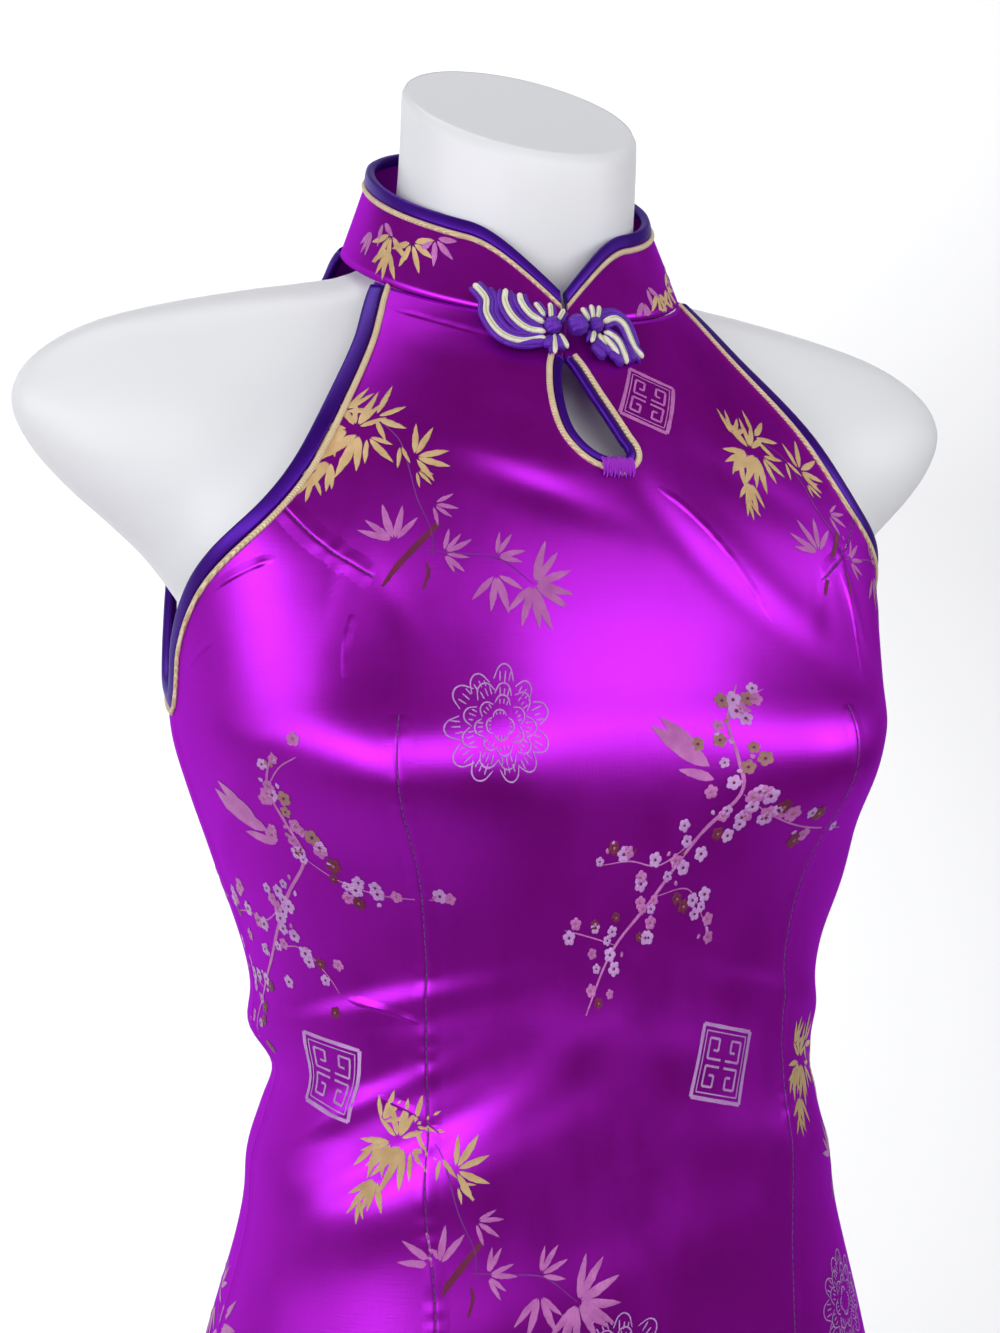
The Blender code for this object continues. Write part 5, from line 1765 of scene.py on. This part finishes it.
def main() -> None:
    """Build every piece, in order."""
    logging.basicConfig(level=logging.INFO, format="%(name)s: %(message)s")
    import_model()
    Studio().build()

    satin = SATIN.build("brocade_satin")
    binding = BINDING.build("bias_binding")
    piping = PIPING.build("cream_piping")
    surface = DressSurface(CREASES)
    panels = Panels(surface, satin)
    front = panels.front()
    back = panels.back()
    log.info("panels done")

    collar = Collar()
    stand = collar.stand(satin)
    roll = rolled_edge(collar.BINDING, collar.WALL, collar.BINDING_RISE, collar.BINDING_UNDER)
    collar.edge("edge_collar", roll, binding, Slot.BINDING, "collar_binding")
    cord = laid_cord(collar.BINDING + collar.SPACE, collar.PIPING, collar.PIPING_RISE)
    collar.edge("cord_collar", cord, piping, Slot.PIPING, "collar_piping")
    log.info("collar done")

    trim = EdgeTrim(surface)
    roll = rolled_edge(trim.ARM_BINDING, surface.WALL, trim.ARM_RISE, trim.ARM_UNDER)
    cord = laid_cord(trim.ARM_BINDING + trim.SPACE, trim.PIPING, trim.ARM_PIPING_RISE)
    for hand in Hand:
        side = hand.name.lower()
        route = trim.armhole_route(hand)
        trim.strip(f"edge_arm_{side}", route, roll, hand.value, binding,
                   f"armhole_binding_{side}")
        trim.strip(f"cord_arm_{side}", route, cord, hand.value, piping,
                   f"armhole_piping_{side}")
    roll = rolled_edge(trim.KEY_BINDING, surface.WALL, trim.KEY_RISE, trim.KEY_UNDER)
    cord = laid_cord(trim.KEY_BINDING + trim.SPACE, trim.PIPING, trim.KEY_PIPING_RISE)
    route = trim.keyhole_route()
    trim.strip("edge_keyhole", route, roll, 1, binding, "keyhole_binding")
    trim.strip("cord_keyhole", route, cord, 1, piping, "keyhole_piping")
    log.info("edges done")

    frog = Frog()
    knot_satin = KNOT_SATIN.build("frog_satin")
    striped = STRIPED.build("cream_cord")
    stripe = STRIPE.build("green_stripe")
    for hand in Hand:
        frog.wing(hand, knot_satin, striped, stripe)
    frog.knot(knot_satin)
    log.info("frog done")

    threads = {tone: ThreadFinish(*tone.value, 0.42, 2200.0, 0.1, 0.35).build(f"thread_{tone.name.lower()}")
               for tone in Tone}
    woven_front, woven_back = Brocade("front", surface, 11), Brocade("back", surface, 12)
    woven_front.panel(FRONT)
    front_threads = woven_front.pieces(threads)
    woven_back.panel(BACK)
    back_threads = woven_back.pieces(threads)
    woven_collar = Brocade("collar", collar, 13)
    for place in COLLAR_BAMBOO:
        woven_collar.leaves(place, COLLAR_FANS, woven_collar.COLLAR_LEAF)
    collar_threads = woven_collar.pieces(threads)
    log.info("brocade done")

    sewn = Stitching(surface)
    darts = [sewn.route(line, hand.value) for hand in Hand for line in (sewn.WAIST_DART, sewn.ARM_DART)]
    sides = [sewn.route(sewn.SIDE, hand.value) for hand in Hand]
    creases = [sewn.strips(f"creases_{name}", [sewn.route(line, 1, 14) for line in lines], sewn.PRESSED,
                           satin, 0.3)
               for name, lines in (("front", sewn.PRESSED_FRONT), ("back", sewn.PRESSED_BACK))]
    drawn = sewn.strips("dart_puckers", darts, sewn.DRAWN, satin, 0.3)
    # A near-black strip along each dart: painted shade in the seam's groove
    seam_shade_strips = sewn.strips("dart_seams", darts, sewn.CREVICE_SHADE, SEAM_SHADE.build("seam_line"))
    dashes = sewn.stitches("dart_stitches", darts, SEWING.build("sewing_thread"))
    joined = sewn.strips("side_seams", sides, sewn.DRAWN, satin, 0.2)
    bar = sewn.bar(BAR_THREAD.build("bar_thread"))
    log.info("sewing done")

    TorsoForm(surface).build(SHELL.build("white_shell"))
    for node, finish in (("stand_flange", STEEL), ("stand_pole", STEEL), ("stand_base", PAINT)):
        refinish(node, finish.build(f"{node}_finish"))
    log.info("form and stand done")


if __name__ == "__main__":
    main()
